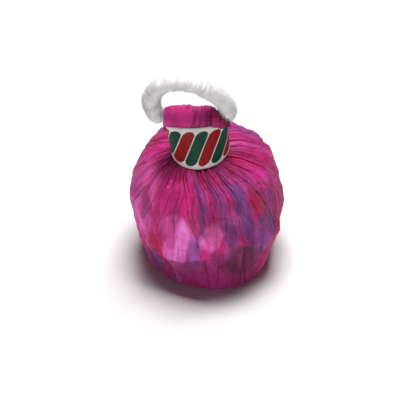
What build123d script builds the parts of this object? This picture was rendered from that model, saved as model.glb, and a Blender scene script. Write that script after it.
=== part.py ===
from build123d import *
import math
import os

os.makedirs("parts", exist_ok=True)

# Hand-thrown streamer ball: a tissue-wrapped ball of paper streamer coils with a
# printed band round its gathered neck and a chenille finger loop in the folded
# tissue tail.  Millimetres, +Z up, origin at the centre of the flat underside,
# the finger loop's hinge line runs along X and the front of the ball is -Y.

# ---- tissue wrapper ---------------------------------------------------------
BALL_R = 25.0            # largest radius of the wrapped ball
BALL_MID_Z = 24.0        # height of that radius
BASE_R = 15.0            # flat underside
HEEL_R, HEEL_Z = 18.5, 1.5
LOW_R, LOW_Z = 21.5, 8.0
SIDE_R, SIDE_Z = 23.8, 15.0
SHOULDER_R, SHOULDER_Z = 23.3, 35.5
CROWN_MID_R, CROWN_MID_Z = 19.7, 41.3
CROWN_R, CROWN_Z = 13.5, 45.0
CROWN_TOP_Z = 45.6
WALL = 0.55              # crumpled tissue, layers together

# ---- gathered neck, leaning a little forward and to the left -----------------
LEAN_X, LEAN_Y = -0.085, -0.14
NECK_BOTTOM = (-2.1, 0.0, 45.2)
NECK_TOP = (-3.2, -1.9, 58.5)
NECK_R = 9.3
NECK_TOP_RX = 10.1       # the top is pressed flat in front and stays round behind
NECK_TOP_FRONT, NECK_TOP_BACK = 3.1, 6.8
NECK_WALL = 0.6

# ---- folded tail that holds the loop ------------------------------------------
HINGE_X, HINGE_Y, HINGE_Z = -6.0, -2.0, 62.9
ROLL_R = 3.9
ROLL_L = 16.4
TUNNEL_R = 2.6
SLOT_X, SLOT_Y = 2.6, 5.0

# ---- paper band ----------------------------------------------------------------
BAND_T = 0.3
BAND_GAP = 0.25
BAND_LAP_W = 7.0
BAND_LOW, BAND_HIGH = 0.155, 0.985   # where it lies along the neck

# ---- finger loop -----------------------------------------------------------------
PILE_R = 3.0
PILE_TUNNEL_R = 2.2
PILE_GAP = 2.4
WIRE_R = 0.45
LOOP_LEAN = 8.0
LOOP_POINTS = [
    (0.0, 0.0), (12.8, 0.0), (12.9, 5.4), (8.9, 11.6), (3.2, 16.3),
    (-4.2, 19.0), (-9.6, 16.6), (-12.7, 9.6), (-10.7, 0.0),
]
LOOP_FILLETS = [3.4, 6.0, 12.0, 9.0, 5.5, 6.0, 9.0, 3.3]

# ---- tie thread -------------------------------------------------------------------
THREAD_R = 0.4
TIE_Z = 52.4
TIE_X = -4.6
TIE_RX, TIE_RY = 5.4, 1.9
EYE_Z = 60.5

# ---- streamers ---------------------------------------------------------------------
COIL_R = 8.0
COIL_BORE_R = 1.5
TAPE_W = 5.0
TAPE_T = 0.2
PITCH = 5.3
LOWER_Y, LOWER_Z = 8.4, 10.5
UPPER_Y, UPPER_Z = 8.8, 26.9
LEAD_TOP_W = 1.6
LEAD_TOP_PITCH = 1.9
LEAD_TOP_Z = 54.0


def lean_plane(point):
    """Plane at a height of the neck, square to the leaning neck."""
    return Plane(origin=point, x_dir=(1, 0, -LEAN_X), z_dir=(LEAN_X, LEAN_Y, 1))


def along_neck(t):
    """Point on the neck's centre line, 0 at the bottom and 1 at the top."""
    return tuple(a + (b - a) * t for a, b in zip(NECK_BOTTOM, NECK_TOP))


def band_radii(t, off):
    """Half width, front and back depth of the neck at t, grown by off."""
    return tuple(NECK_R + (top - NECK_R) * t + off for top in (NECK_TOP_RX, NECK_TOP_FRONT, NECK_TOP_BACK))


def neck_section(rx, front, back):
    """Face of the neck's section: a half ellipse in front and another behind."""
    rear = EllipticalCenterArc((0, 0), rx, back, start_angle=0, arc_size=180)
    fore = EllipticalCenterArc((0, 0), rx, front, start_angle=180, arc_size=180)
    return Face(Wire([rear, fore]))


neck_low = neck_section(NECK_R, NECK_R, NECK_R)
neck_high = neck_section(NECK_TOP_RX, NECK_TOP_FRONT, NECK_TOP_BACK)
throat_low = neck_section(NECK_R - NECK_WALL, NECK_R - NECK_WALL, NECK_R - NECK_WALL)
throat_high = neck_section(NECK_TOP_RX - NECK_WALL, NECK_TOP_FRONT - NECK_WALL, NECK_TOP_BACK - NECK_WALL)
off = BAND_GAP + BAND_T
band_low = neck_section(*band_radii(BAND_LOW, off))
band_high = neck_section(*band_radii(BAND_HIGH, off))
lap_low = neck_section(*band_radii(BAND_LOW, off + BAND_T))
lap_high = neck_section(*band_radii(BAND_HIGH, off + BAND_T))
hole_low = neck_section(*band_radii(BAND_LOW - 0.08, BAND_GAP))
hole_high = neck_section(*band_radii(BAND_HIGH + 0.08, BAND_GAP))

# ================================================================ tissue wrapper
with BuildPart() as tissue_wrapper:
    # outer skin of the ball: low facets, then the round sides and the crown
    with BuildSketch(Plane.XZ):
        with BuildLine():
            Polyline((0, 0), (BASE_R, 0), (HEEL_R, HEEL_Z), (LOW_R, LOW_Z), (SIDE_R, SIDE_Z))
            ThreePointArc((SIDE_R, SIDE_Z), (BALL_R, BALL_MID_Z + 1.0), (SHOULDER_R, SHOULDER_Z))
            ThreePointArc((SHOULDER_R, SHOULDER_Z), (CROWN_MID_R, CROWN_MID_Z), (CROWN_R, CROWN_Z))
            Polyline((CROWN_R, CROWN_Z), (NECK_R + 1.0, CROWN_TOP_Z), (0, CROWN_TOP_Z), (0, 0))
        make_face()
    revolve(axis=Axis.Z)
    # neck, gathered from a ring into a flat oval
    with BuildSketch(lean_plane(NECK_BOTTOM)):
        add(neck_low)
    with BuildSketch(lean_plane(NECK_TOP)):
        add(neck_high)
    loft()
    # tail of the sheet folded over the loop
    with Locations((HINGE_X, HINGE_Y, HINGE_Z)):
        Cylinder(ROLL_R, ROLL_L, rotation=(0, 90, 0))
    with BuildSketch(lean_plane(NECK_TOP)):
        Ellipse(NECK_TOP_RX, NECK_TOP_FRONT)
        with Locations((HINGE_X - NECK_TOP[0], 0)):
            Rectangle(ROLL_L - 0.8, 3 * NECK_TOP_FRONT, mode=Mode.INTERSECT)
    extrude(amount=2.6)
    # behind the loop the tail slopes down to the back of the neck
    with BuildSketch(Plane.YZ.offset(HINGE_X - 4.0)):
        with BuildLine():
            Polyline((HINGE_Y, HINGE_Z), (HINGE_Y + 2.9, HINGE_Z + 2.5), (HINGE_Y + 5.1, NECK_TOP[2] + 0.9),
                     (HINGE_Y + 4.9, NECK_TOP[2] - 1.0), (HINGE_Y, NECK_TOP[2] - 1.0), (HINGE_Y, HINGE_Z))
        make_face()
    extrude(amount=11.8)
    # space for the streamers
    with BuildSketch(Plane.XZ):
        with BuildLine():
            Polyline((0, WALL), (BASE_R - 0.1, WALL), (HEEL_R - WALL, HEEL_Z + 0.3),
                     (LOW_R - WALL, LOW_Z + 0.1), (SIDE_R - WALL, SIDE_Z))
            ThreePointArc((SIDE_R - WALL, SIDE_Z), (BALL_R - WALL, BALL_MID_Z + 1.0),
                          (SHOULDER_R - WALL, SHOULDER_Z - 0.2))
            ThreePointArc((SHOULDER_R - WALL, SHOULDER_Z - 0.2), (CROWN_MID_R - 0.4, CROWN_MID_Z - 0.45),
                          (CROWN_R - 0.2, CROWN_Z - WALL))
            Polyline((CROWN_R - 0.2, CROWN_Z - WALL), (NECK_R + 0.6, CROWN_TOP_Z - WALL),
                     (0, CROWN_TOP_Z - WALL), (0, WALL))
        make_face()
    revolve(axis=Axis.Z, mode=Mode.SUBTRACT)
    # throat of the neck
    with BuildSketch(lean_plane(along_neck(-0.06))):
        add(throat_low)
    with BuildSketch(lean_plane(along_neck(0.96))):
        add(throat_high)
    loft(mode=Mode.SUBTRACT)
    # tunnel for the loop, and the hole its tie thread comes up through
    with Locations((HINGE_X, HINGE_Y, HINGE_Z)):
        Cylinder(TUNNEL_R, ROLL_L + 2, rotation=(0, 90, 0), mode=Mode.SUBTRACT)
    with Locations((HINGE_X, HINGE_Y, HINGE_Z - 3.3)):
        Box(SLOT_X, SLOT_Y, 6.0, mode=Mode.SUBTRACT)
tissue_wrapper.part.label = "tissue_wrapper"
export_step(tissue_wrapper.part, "parts/tissue_wrapper.step")

# ==================================================================== paper band
with BuildPart() as paper_band:
    with BuildSketch(lean_plane(along_neck(BAND_LOW))):
        add(band_low)
    with BuildSketch(lean_plane(along_neck(BAND_HIGH))):
        add(band_high)
    loft()
    # the strip laps over itself at the back, where it is glued
    with BuildPart(mode=Mode.PRIVATE) as lap:
        with BuildSketch(lean_plane(along_neck(BAND_LOW))):
            add(lap_low)
        with BuildSketch(lean_plane(along_neck(BAND_HIGH))):
            add(lap_high)
        loft()
        with Locations((-2.0, 8.0, 52.0)):
            Box(BAND_LAP_W, 14.0, 40.0, mode=Mode.INTERSECT)
    add(lap.part)
    with BuildSketch(lean_plane(along_neck(BAND_LOW - 0.08))):
        add(hole_low)
    with BuildSketch(lean_plane(along_neck(BAND_HIGH + 0.08))):
        add(hole_high)
    loft(mode=Mode.SUBTRACT)
paper_band.part.label = "paper_band"
export_step(paper_band.part, "parts/paper_band.step")

# =================================================================== finger loop
loop_plane = Plane(
    origin=(HINGE_X, HINGE_Y, HINGE_Z),
    x_dir=(1, 0, 0),
    z_dir=(0, -math.cos(math.radians(LOOP_LEAN)), -math.sin(math.radians(LOOP_LEAN))),
)
# in this plane x is along the hinge and y rises up the loop
start_plane = Plane(origin=(HINGE_X, HINGE_Y, HINGE_Z), x_dir=(0, 1, 0), z_dir=(1, 0, 0))


def loop_path():
    """Closed centre line of the loop: straight runs joined by tangent arcs."""
    pts = LOOP_POINTS
    n = len(pts)
    edges = []
    last = pts[0]
    for i in range(1, n):
        a, b, c = pts[i - 1], pts[i], pts[(i + 1) % n]
        r = LOOP_FILLETS[i - 1]
        ua = ((a[0] - b[0]), (a[1] - b[1]))
        uc = ((c[0] - b[0]), (c[1] - b[1]))
        la, lc = math.hypot(*ua), math.hypot(*uc)
        ua = (ua[0] / la, ua[1] / la)
        uc = (uc[0] / lc, uc[1] / lc)
        cosang = ua[0] * uc[0] + ua[1] * uc[1]
        half = math.acos(cosang) / 2
        t = r / math.tan(half)
        p = (b[0] + ua[0] * t, b[1] + ua[1] * t)
        q = (b[0] + uc[0] * t, b[1] + uc[1] * t)
        bis = (ua[0] + uc[0], ua[1] + uc[1])
        lb = math.hypot(*bis)
        bis = (bis[0] / lb, bis[1] / lb)
        cd = r / math.sin(half)
        mid = (b[0] + bis[0] * (cd - r), b[1] + bis[1] * (cd - r))
        edges.append(("line", last, p))
        edges.append(("arc", p, mid, q))
        last = q
    edges.append(("line", last, pts[0]))
    return edges


def draw_path(edges):
    """Draw the given stretch of the centre line in the current line builder."""
    for e in edges:
        if e[0] == "line":
            Line(e[1], e[2])
        else:
            ThreePointArc(e[1], e[2], e[3])


EDGES = loop_path()
OUT_U = ROLL_L / 2 + 0.35
# the part of the centre line outside the roll
outside = list(EDGES)
outside[0] = ("line", (OUT_U, 0.0), EDGES[0][2])
outside[-1] = ("line", EDGES[-1][1], (-OUT_U, 0.0))

with BuildPart() as loop_pile:
    with BuildLine(loop_plane):
        draw_path(outside)
    with BuildSketch(Plane(origin=(HINGE_X + OUT_U, HINGE_Y, HINGE_Z), x_dir=(0, 1, 0), z_dir=(1, 0, 0))):
        Circle(PILE_R)
    sweep()
    # pressed thinner where the fold of tissue grips it
    run = OUT_U - PILE_GAP / 2 + 0.2
    for side in (-1, 1):
        with Locations((HINGE_X + side * (PILE_GAP / 2 + run / 2), HINGE_Y, HINGE_Z)):
            Cylinder(PILE_TUNNEL_R, run, rotation=(0, 90, 0))
    with BuildLine(loop_plane):
        draw_path(EDGES)
    with BuildSketch(start_plane):
        Circle(WIRE_R + 0.05)
    sweep(mode=Mode.SUBTRACT)
loop_pile.part.label = "loop_pile"
export_step(loop_pile.part, "parts/loop_pile.step")

with BuildPart() as loop_wire:
    with BuildLine(loop_plane):
        draw_path(EDGES)
    with BuildSketch(start_plane):
        Circle(WIRE_R)
    sweep()
loop_wire.part.label = "loop_wire"
export_step(loop_wire.part, "parts/loop_wire.step")

# ==================================================================== tie thread
with BuildPart() as tie_thread:
    # turns round the gathered tape ends
    for z in (TIE_Z - 0.8, TIE_Z, TIE_Z + 0.8):
        with BuildLine(Plane.XY.offset(z)):
            Line((TIE_X - TIE_RX + TIE_RY, -TIE_RY), (TIE_X + TIE_RX - TIE_RY, -TIE_RY))
            ThreePointArc((TIE_X + TIE_RX - TIE_RY, -TIE_RY), (TIE_X + TIE_RX, 0),
                          (TIE_X + TIE_RX - TIE_RY, TIE_RY))
            Line((TIE_X + TIE_RX - TIE_RY, TIE_RY), (TIE_X - TIE_RX + TIE_RY, TIE_RY))
            ThreePointArc((TIE_X - TIE_RX + TIE_RY, TIE_RY), (TIE_X - TIE_RX, 0),
                          (TIE_X - TIE_RX + TIE_RY, -TIE_RY))
        with BuildSketch(Plane(origin=(TIE_X - TIE_RX + TIE_RY, -TIE_RY, z), x_dir=(0, 1, 0), z_dir=(1, 0, 0))):
            Circle(THREAD_R + 0.02)
        sweep()
    # and the eye that goes up over the loop's wire
    eye = 0.95
    with BuildLine(Plane(origin=(HINGE_X, 0, 0), x_dir=(0, 1, 0), z_dir=(1, 0, 0))):
        Line((-TIE_RY, TIE_Z + 0.8), (HINGE_Y - eye, EYE_Z))
        Line((HINGE_Y - eye, EYE_Z), (HINGE_Y - eye, HINGE_Z))
        ThreePointArc((HINGE_Y - eye, HINGE_Z), (HINGE_Y, HINGE_Z + eye), (HINGE_Y + eye, HINGE_Z))
        Line((HINGE_Y + eye, HINGE_Z), (HINGE_Y + eye, EYE_Z))
        Line((HINGE_Y + eye, EYE_Z), (TIE_RY, TIE_Z + 0.8))
    dz, dy = EYE_Z - (TIE_Z + 0.8), (HINGE_Y - eye) + TIE_RY
    with BuildSketch(Plane(origin=(HINGE_X, -TIE_RY, TIE_Z + 0.8), x_dir=(1, 0, 0), z_dir=(0, dy, dz))):
        Circle(THREAD_R)
    sweep(transition=Transition.ROUND)
tie_thread.part.label = "tie_thread"
export_step(tie_thread.part, "parts/tie_thread.step")

# ===================================================================== streamers
# Twenty coils of tape in four rows of five.  The tape of every coil leaves it on
# the side that faces the middle and rises to the knot in the neck.
number = 0
for row, (side, row_y, row_z) in enumerate(
    [(-1, LOWER_Y, LOWER_Z), (1, LOWER_Y, LOWER_Z), (-1, UPPER_Y, UPPER_Z), (1, UPPER_Y, UPPER_Z)]
):
    for k in range(5):
        number += 1
        name = f"streamer_{number:02d}"
        xc = (k - 2) * PITCH
        inner = row_y - COIL_R
        with BuildPart() as streamer:
            with Locations((xc, side * row_y, row_z)):
                Cylinder(COIL_R, TAPE_W, rotation=(0, 90, 0))
            xt = TIE_X + (k - 2) * LEAD_TOP_PITCH
            xn = -2.6 + (k - 2) * 2.4
            z_free = 36.0
            with BuildSketch(Plane.XZ.offset(-side * inner if side > 0 else inner)):
                with BuildLine():
                    Polyline(
                        (xc - TAPE_W / 2, row_z), (xc + TAPE_W / 2, row_z), (xc + TAPE_W / 2, z_free),
                        (xn + 1.0, 46.0), (xt + LEAD_TOP_W / 2, TIE_Z - 1.4), (xt + LEAD_TOP_W / 2, LEAD_TOP_Z),
                        (xt - LEAD_TOP_W / 2, LEAD_TOP_Z), (xt - LEAD_TOP_W / 2, TIE_Z - 1.4),
                        (xn - 1.0, 46.0), (xc - TAPE_W / 2, z_free), (xc - TAPE_W / 2, row_z),
                    )
                make_face()
            extrude(amount=-side * TAPE_T)
            with Locations((xc, side * row_y, row_z)):
                Cylinder(COIL_BORE_R, TAPE_W + 2, rotation=(0, 90, 0), mode=Mode.SUBTRACT)
        streamer.part.label = name
        export_step(streamer.part, f"parts/{name}.step")
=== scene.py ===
"""Looks of the hand-thrown streamer ball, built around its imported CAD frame."""

import math

import bpy
import numpy as np
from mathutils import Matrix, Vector


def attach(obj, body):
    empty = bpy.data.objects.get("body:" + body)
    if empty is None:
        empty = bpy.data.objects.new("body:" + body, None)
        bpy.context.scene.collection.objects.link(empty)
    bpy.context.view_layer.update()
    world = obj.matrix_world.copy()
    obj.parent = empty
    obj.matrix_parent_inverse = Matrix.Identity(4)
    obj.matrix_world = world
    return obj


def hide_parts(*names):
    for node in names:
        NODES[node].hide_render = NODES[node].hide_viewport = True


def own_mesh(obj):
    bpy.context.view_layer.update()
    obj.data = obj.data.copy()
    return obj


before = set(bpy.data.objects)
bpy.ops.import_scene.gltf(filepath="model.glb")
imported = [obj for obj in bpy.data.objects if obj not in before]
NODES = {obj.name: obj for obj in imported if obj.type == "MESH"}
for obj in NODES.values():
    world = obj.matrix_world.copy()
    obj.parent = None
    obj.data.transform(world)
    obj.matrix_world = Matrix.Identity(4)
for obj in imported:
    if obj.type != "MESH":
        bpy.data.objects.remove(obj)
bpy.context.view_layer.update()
MM = 0.001
scene = bpy.context.scene


# ------------------------------------------------------------------ small tools
def smooth01(x):
    x = np.clip(x, 0.0, 1.0)
    return x * x * (3 - 2 * x)


def srgb(r, g, b):
    """0-255 display colour as a linear one."""
    out = []
    for v in (r, g, b):
        v /= 255.0
        out.append(v / 12.92 if v <= 0.04045 else ((v + 0.055) / 1.055) ** 2.4)
    return out


def hash01(i, j, seed):
    """Repeatable 0-1 value for whole numbers i and j."""
    n = (i.astype(np.int64) * 374761393 + j.astype(np.int64) * 668265263 + seed * 1274126177) & 0xFFFFFFFF
    n = ((n ^ (n >> 13)) * 1274126177) & 0xFFFFFFFF
    n = (n ^ (n >> 16)) & 0xFFFFFFFF
    return n / 4294967295.0


def facets(u, v, seed, wrap):
    """Creased noise: random heights joined by flat triangles, -1 to 1. It repeats after wrap cells of u."""
    i, j = np.floor(u), np.floor(v)
    f, g = u - i, v - j

    def h(a, b):
        return hash01(np.mod(a, wrap), b + 4096, seed) * 2 - 1

    h00, h11 = h(i, j), h(i + 1, j + 1)
    h10, h01 = h(i + 1, j), h(i, j + 1)
    low = h00 + f * (h10 - h00) + g * (h11 - h10)
    high = h00 + g * (h01 - h00) + f * (h11 - h01)
    return np.where(f > g, low, high)


def soft_noise(u, v, seed, wrap):
    """Smooth value noise, -1 to 1, repeating after wrap cells of u."""
    i, j = np.floor(u), np.floor(v)
    f, g = smooth01(u - i), smooth01(v - j)

    def h(a, b):
        return hash01(np.mod(a, wrap), b + 4096, seed) * 2 - 1

    top = h(i, j) * (1 - f) + h(i + 1, j) * f
    low = h(i, j + 1) * (1 - f) + h(i + 1, j + 1) * f
    return top * (1 - g) + low * g


def grid_faces(rows, cols, closed, start=0):
    """Quads of a rows by cols grid of points, joined round when closed."""
    n = cols if closed else cols - 1
    r = np.arange(rows - 1)[:, None]
    c = np.arange(n)[None, :]
    d = (c + 1) % cols
    a = start + r * cols + c
    b = start + r * cols + d
    q = np.stack([a, b, b + cols, a + cols], -1)
    return q.reshape(-1, 4)


def new_mesh(name, verts, quads=None, tris=None, smooth=True):
    """Mesh object from arrays, in millimetres."""
    verts = np.asarray(verts, np.float64) * MM
    loops, starts, totals = [], [], []
    at = 0
    for faces, k in ((quads, 4), (tris, 3)):
        if faces is None or len(faces) == 0:
            continue
        faces = np.asarray(faces, np.int64)
        loops.append(faces.reshape(-1))
        starts.append(at + np.arange(len(faces)) * k)
        totals.append(np.full(len(faces), k))
        at += faces.size
    loops, starts, totals = map(np.concatenate, (loops, starts, totals))
    me = bpy.data.meshes.new(name)
    me.vertices.add(len(verts))
    me.vertices.foreach_set("co", verts.astype(np.float32).reshape(-1))
    me.loops.add(len(loops))
    me.loops.foreach_set("vertex_index", loops.astype(np.int32))
    me.polygons.add(len(starts))
    me.polygons.foreach_set("loop_start", starts.astype(np.int32))
    me.polygons.foreach_set("loop_total", totals.astype(np.int32))
    me.update(calc_edges=True)
    me.validate()
    me.polygons.foreach_set("use_smooth", np.full(len(me.polygons), smooth))
    ob = bpy.data.objects.new(name, me)
    scene.collection.objects.link(ob)
    return ob


def point_colour(ob, name, rgb):
    a = ob.data.attributes.new(name, "FLOAT_COLOR", "POINT")
    rgba = np.ones((len(rgb), 4), np.float32)
    rgba[:, :3] = rgb
    a.data.foreach_set("color", rgba.reshape(-1))


def point_vector(ob, name, xyz):
    a = ob.data.attributes.new(name, "FLOAT_VECTOR", "POINT")
    a.data.foreach_set("vector", np.asarray(xyz, np.float32).reshape(-1))


def vertex_normals(verts, quads):
    """Area-weighted normals of a quad mesh."""
    a, b, c, d = (verts[quads[:, k]] for k in range(4))
    n = np.cross(c - a, d - b)
    out = np.zeros_like(verts)
    for k in range(4):
        np.add.at(out, quads[:, k], n)
    return out / np.maximum(np.linalg.norm(out, axis=1, keepdims=True), 1e-12)


# --------------------------------------------------------------- node material kit
class Mat:
    """A node material in short words."""

    def __init__(self, name):
        self.m = bpy.data.materials.new(name)
        self.m.use_nodes = True
        self.t = self.m.node_tree
        self.t.nodes.clear()
        self.out = self.add("ShaderNodeOutputMaterial")
        self.s = self.add("ShaderNodeBsdfPrincipled")
        self.link(self.s.outputs[0], self.out.inputs[0])

    def add(self, kind, **props):
        n = self.t.nodes.new(kind)
        for k, v in props.items():
            setattr(n, k, v)
        return n

    def link(self, a, b):
        self.t.links.new(a, b)
        return b

    def put(self, socket, value):
        if hasattr(value, "is_output") or isinstance(value, bpy.types.NodeSocket):
            self.link(value, socket)
        else:
            socket.default_value = value

    def attr(self, name):
        return self.add("ShaderNodeAttribute", attribute_name=name)

    def math(self, op, a, b=0.0, c=None, clamp=False):
        n = self.add("ShaderNodeMath", operation=op, use_clamp=clamp)
        self.put(n.inputs[0], a)
        self.put(n.inputs[1], b)
        if c is not None:
            self.put(n.inputs[2], c)
        return n.outputs[0]

    def noise(self, vector, scale, detail=3.0, rough=0.55, distortion=0.0):
        n = self.add("ShaderNodeTexNoise")
        self.put(n.inputs["Vector"], vector)
        n.inputs["Scale"].default_value = scale
        n.inputs["Detail"].default_value = detail
        n.inputs["Roughness"].default_value = rough
        n.inputs["Distortion"].default_value = distortion
        return n.outputs["Fac"]

    def scaled(self, vector, xyz):
        n = self.add("ShaderNodeVectorMath", operation="MULTIPLY")
        self.put(n.inputs[0], vector)
        n.inputs[1].default_value = xyz
        return n.outputs[0]

    def mix(self, fac, a, b, blend="MIX"):
        n = self.add("ShaderNodeMix", data_type="RGBA", blend_type=blend)
        n.clamp_factor = True
        self.put(n.inputs[0], fac)
        self.put(n.inputs[6], a if not isinstance(a, (list, tuple)) else (*a[:3], 1.0))
        self.put(n.inputs[7], b if not isinstance(b, (list, tuple)) else (*b[:3], 1.0))
        return n.outputs[2]

    def ramp(self, fac, low, high, to_low=0.0, to_high=1.0):
        n = self.add("ShaderNodeMapRange", interpolation_type="SMOOTHSTEP")
        self.put(n.inputs["Value"], fac)
        n.inputs["From Min"].default_value = low
        n.inputs["From Max"].default_value = high
        n.inputs["To Min"].default_value = to_low
        n.inputs["To Max"].default_value = to_high
        return n.outputs["Result"]

    def bump(self, height, distance, strength=1.0, under=None):
        n = self.add("ShaderNodeBump")
        n.inputs["Strength"].default_value = strength
        n.inputs["Distance"].default_value = distance
        self.put(n.inputs["Height"], height)
        if under is not None:
            self.link(under, n.inputs["Normal"])
        return n.outputs[0]


# ===================================================== shape of the wrapped ball
def arc3(p, q, s, n=40):
    (x1, y1), (x2, y2), (x3, y3) = p, q, s
    a, b = 2 * (x2 - x1), 2 * (y2 - y1)
    c = x2 * x2 + y2 * y2 - x1 * x1 - y1 * y1
    d, e = 2 * (x3 - x2), 2 * (y3 - y2)
    f = x3 * x3 + y3 * y3 - x2 * x2 - y2 * y2
    det = a * e - b * d
    cx, cy = (c * e - b * f) / det, (a * f - c * d) / det
    r = math.hypot(x1 - cx, y1 - cy)
    t1, t3 = math.atan2(y1 - cy, x1 - cx), math.atan2(y3 - cy, x3 - cx)
    return [(cx + r * math.cos(t1 + (t3 - t1) * i / n), cy + r * math.sin(t1 + (t3 - t1) * i / n)) for i in range(n + 1)]


# the CAD solid's own outline, in mm: (radius, height) from the underside to the crown
outline = [(0, 0), (15, 0), (18.5, 1.5), (21.5, 8), (23.8, 15)]
outline += arc3((23.8, 15), (25, 25), (23.3, 35.5))[1:]
outline += arc3((23.3, 35.5), (19.7, 41.3), (13.5, 45.0))[1:] + [(10.3, 45.6)]
outline = np.array(outline)[::-1]
run = np.r_[0, np.cumsum(np.hypot(*np.diff(outline, axis=0).T))]
S_TAB = np.linspace(0, run[-1], 1200)
R_TAB = np.interp(S_TAB, run, outline[:, 0])
Z_TAB = np.interp(S_TAB, run, outline[:, 1])
for _ in range(12):  # soften the outline's corners
    R_TAB[1:-1] = (R_TAB[:-2] + 2 * R_TAB[1:-1] + R_TAB[2:]) / 4

NECK_LOW, NECK_HIGH = np.array((-2.1, 0.0, 45.2)), np.array((-3.2, -1.9, 58.5))
LEAN_X, LEAN_Y = -0.085, -0.14
NECK_R, TOP_RX, TOP_FRONT, TOP_BACK = 9.3, 10.1, 3.1, 6.8
HINGE = np.array((-6.0, -2.0, 62.9))
BAND_LOW, BAND_HIGH = 0.155, 0.985


def neck_point(t, phi, off):
    """Point of the neck's skin at height t and angle phi (radians), grown by off mm."""
    t = np.asarray(t, float)
    rx = NECK_R + (TOP_RX - NECK_R) * t + off
    rf = NECK_R + (TOP_FRONT - NECK_R) * t + off
    rb = NECK_R + (TOP_BACK - NECK_R) * t + off
    x = rx * np.cos(phi)
    y = np.where(np.sin(phi) < 0, rf, rb) * np.sin(phi)
    c = NECK_LOW + (NECK_HIGH - NECK_LOW) * t[..., None]
    z = -LEAN_X * x - LEAN_Y * y
    return np.stack([c[..., 0] + x, c[..., 1] + y, c[..., 2] + z], -1)


# Lines where the gathered sheet tucks under itself.  Each one: (run down from the
# band in mm, angle in degrees) points, where it ends, depth, which side laps over.
TUCKS = [
    ([(0, -183), (5, -180), (10, -178.5), (16, -181.5), (24, -184), (38, -186)], 17, 1.6, 1),
    ([(0, -172), (8, -170), (16, -173), (38, -176)], 9, 0.7, -1),
    ([(0, -164), (3, -162.5), (6.5, -160), (11, -159), (20, -166.5), (30, -170)], 21, 2.5, 1),
    ([(0, -157), (7, -154.5), (11.5, -153), (17, -157), (20, -161.5), (30, -165)], 20, 2.3, 1),
    ([(0, -149), (3, -147.5), (6.6, -142), (11.6, -139.5), (20.2, -144), (31, -152.5), (36, -155)], 34, 2.2, 1),
    ([(0, -143), (2.5, -141), (7.2, -136), (13, -135.5), (19, -138.5), (22.4, -140), (34, -146)], 23, 2.0, 1),
    ([(0, -135), (2, -132.5), (5.3, -128), (9.9, -126.5), (15.7, -127.5), (20.7, -131), (34, -134)], 29, 2.3, -1),
    ([(0, -127.5), (1.5, -125.5), (7.6, -119), (11.7, -118.5), (16.7, -119), (22.8, -117.5), (34, -118)], 26, 1.8, -1),
    ([(0, -122), (5, -116), (8.4, -112.5), (12.3, -109.5), (17.9, -104.5), (24, -99.5), (33.2, -95.5), (38, -95)], 32, 1.7, 1),
    ([(0, -117), (4.1, -111.8), (10.5, -106), (14.3, -103), (20, -99), (26, -94.5), (38, -89)], 21, 2.5, -1),
    ([(0, -105), (7, -99), (11.6, -97), (16.6, -93.5), (21.2, -91.5), (38, -84)], 22, 1.9, 1),
    ([(0, -98), (5.1, -91), (9.2, -88), (13.2, -86), (38, -79)], 21, 3.0, 1),
    ([(0, -90), (5, -86), (9, -84), (14, -81.5), (38, -75)], 9, 1.4, -1),
    ([(0, -82.5), (3.4, -81), (7.7, -79.5), (12.8, -77.5), (17.9, -75.5), (38, -70)], 28, 2.1, 1),
    ([(0, -75), (6, -72), (14, -69), (38, -66)], 17, 1.5, -1),
    ([(0, -67.5), (2.5, -64), (8.2, -63), (13.5, -62), (18.9, -62), (27.2, -62.5), (32.5, -60.5), (37, -56)], 36, 2.3, 1),
    ([(0, -57), (6, -53), (14, -51), (26, -52), (38, -49)], 9, 0.9, -1),
    ([(0, -46.5), (5.1, -44), (11.4, -39), (16.6, -34), (21.9, -28.5), (38, -24)], 30, 3.0, -1),
    ([(0, -35), (6, -30), (14, -24), (38, -16)], 8, 0.7, 1),
    ([(0, -24), (3.2, -18), (9.2, -14), (13.4, -12), (38, -6)], 9, 0.8, -1),
    ([(0, -11), (6, -6), (14, -2), (38, 4)], 8, 0.7, 1),
    ([(0, 1), (2.5, 6), (9.2, 12), (38, 16)], 9, 0.8, -1),
]
rng = np.random.default_rng(7)
back = np.linspace(15, 164, 13)
for k, a in enumerate(back):
    a += rng.uniform(-2.5, 2.5)
    d1, d2 = rng.uniform(-3, 3, 2)
    TUCKS.append(([(0, a), (7, a + d1), (16, a + d1 + d2), (38, a + d1 + d2 * 0.5)], rng.uniform(11, 33), rng.uniform(1.5, 2.7), rng.choice([-1, 1])))

# ridge where the sheet turns under, and the heel it stands on: (angle, height, radius)
RIDGE = [(-159, 14.0, 23.9), (-143, 17.0, 24.6), (-131, 16.2, 24.5), (-121, 15.5, 24.3), (-110, 16.8, 24.5),
         (-91, 20.0, 24.9), (-64.5, 24.3, 25.1), (-50, 20.5, 24.7), (-36, 16.5, 24.5), (-20, 13.6, 24.0), (0, 14, 24.0),
         (25, 15, 24.0), (50, 18, 24.7), (75, 15, 24.2), (100, 17.5, 24.5), (125, 15.5, 24.1), (150, 17.5, 24.5),
         (175, 16.5, 24.3)]
HEEL = [(-176, 1.4, 19.2), (-150, 1.5, 19.9), (-127, 1.3, 19.9), (-112, 1.2, 19.5), (-97, 1.1, 19.5), (-85, 1.0, 20.0),
        (-74, 0.9, 20.7), (-58, 0.9, 21.4), (-43, 1.1, 21.4), (-28, 1.4, 20.8), (-8, 1.5, 20.0), (18, 1.3, 19.3),
        (48, 1.5, 18.3), (80, 1.2, 19.0), (112, 1.4, 18.4), (146, 1.3, 18.8)]


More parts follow.
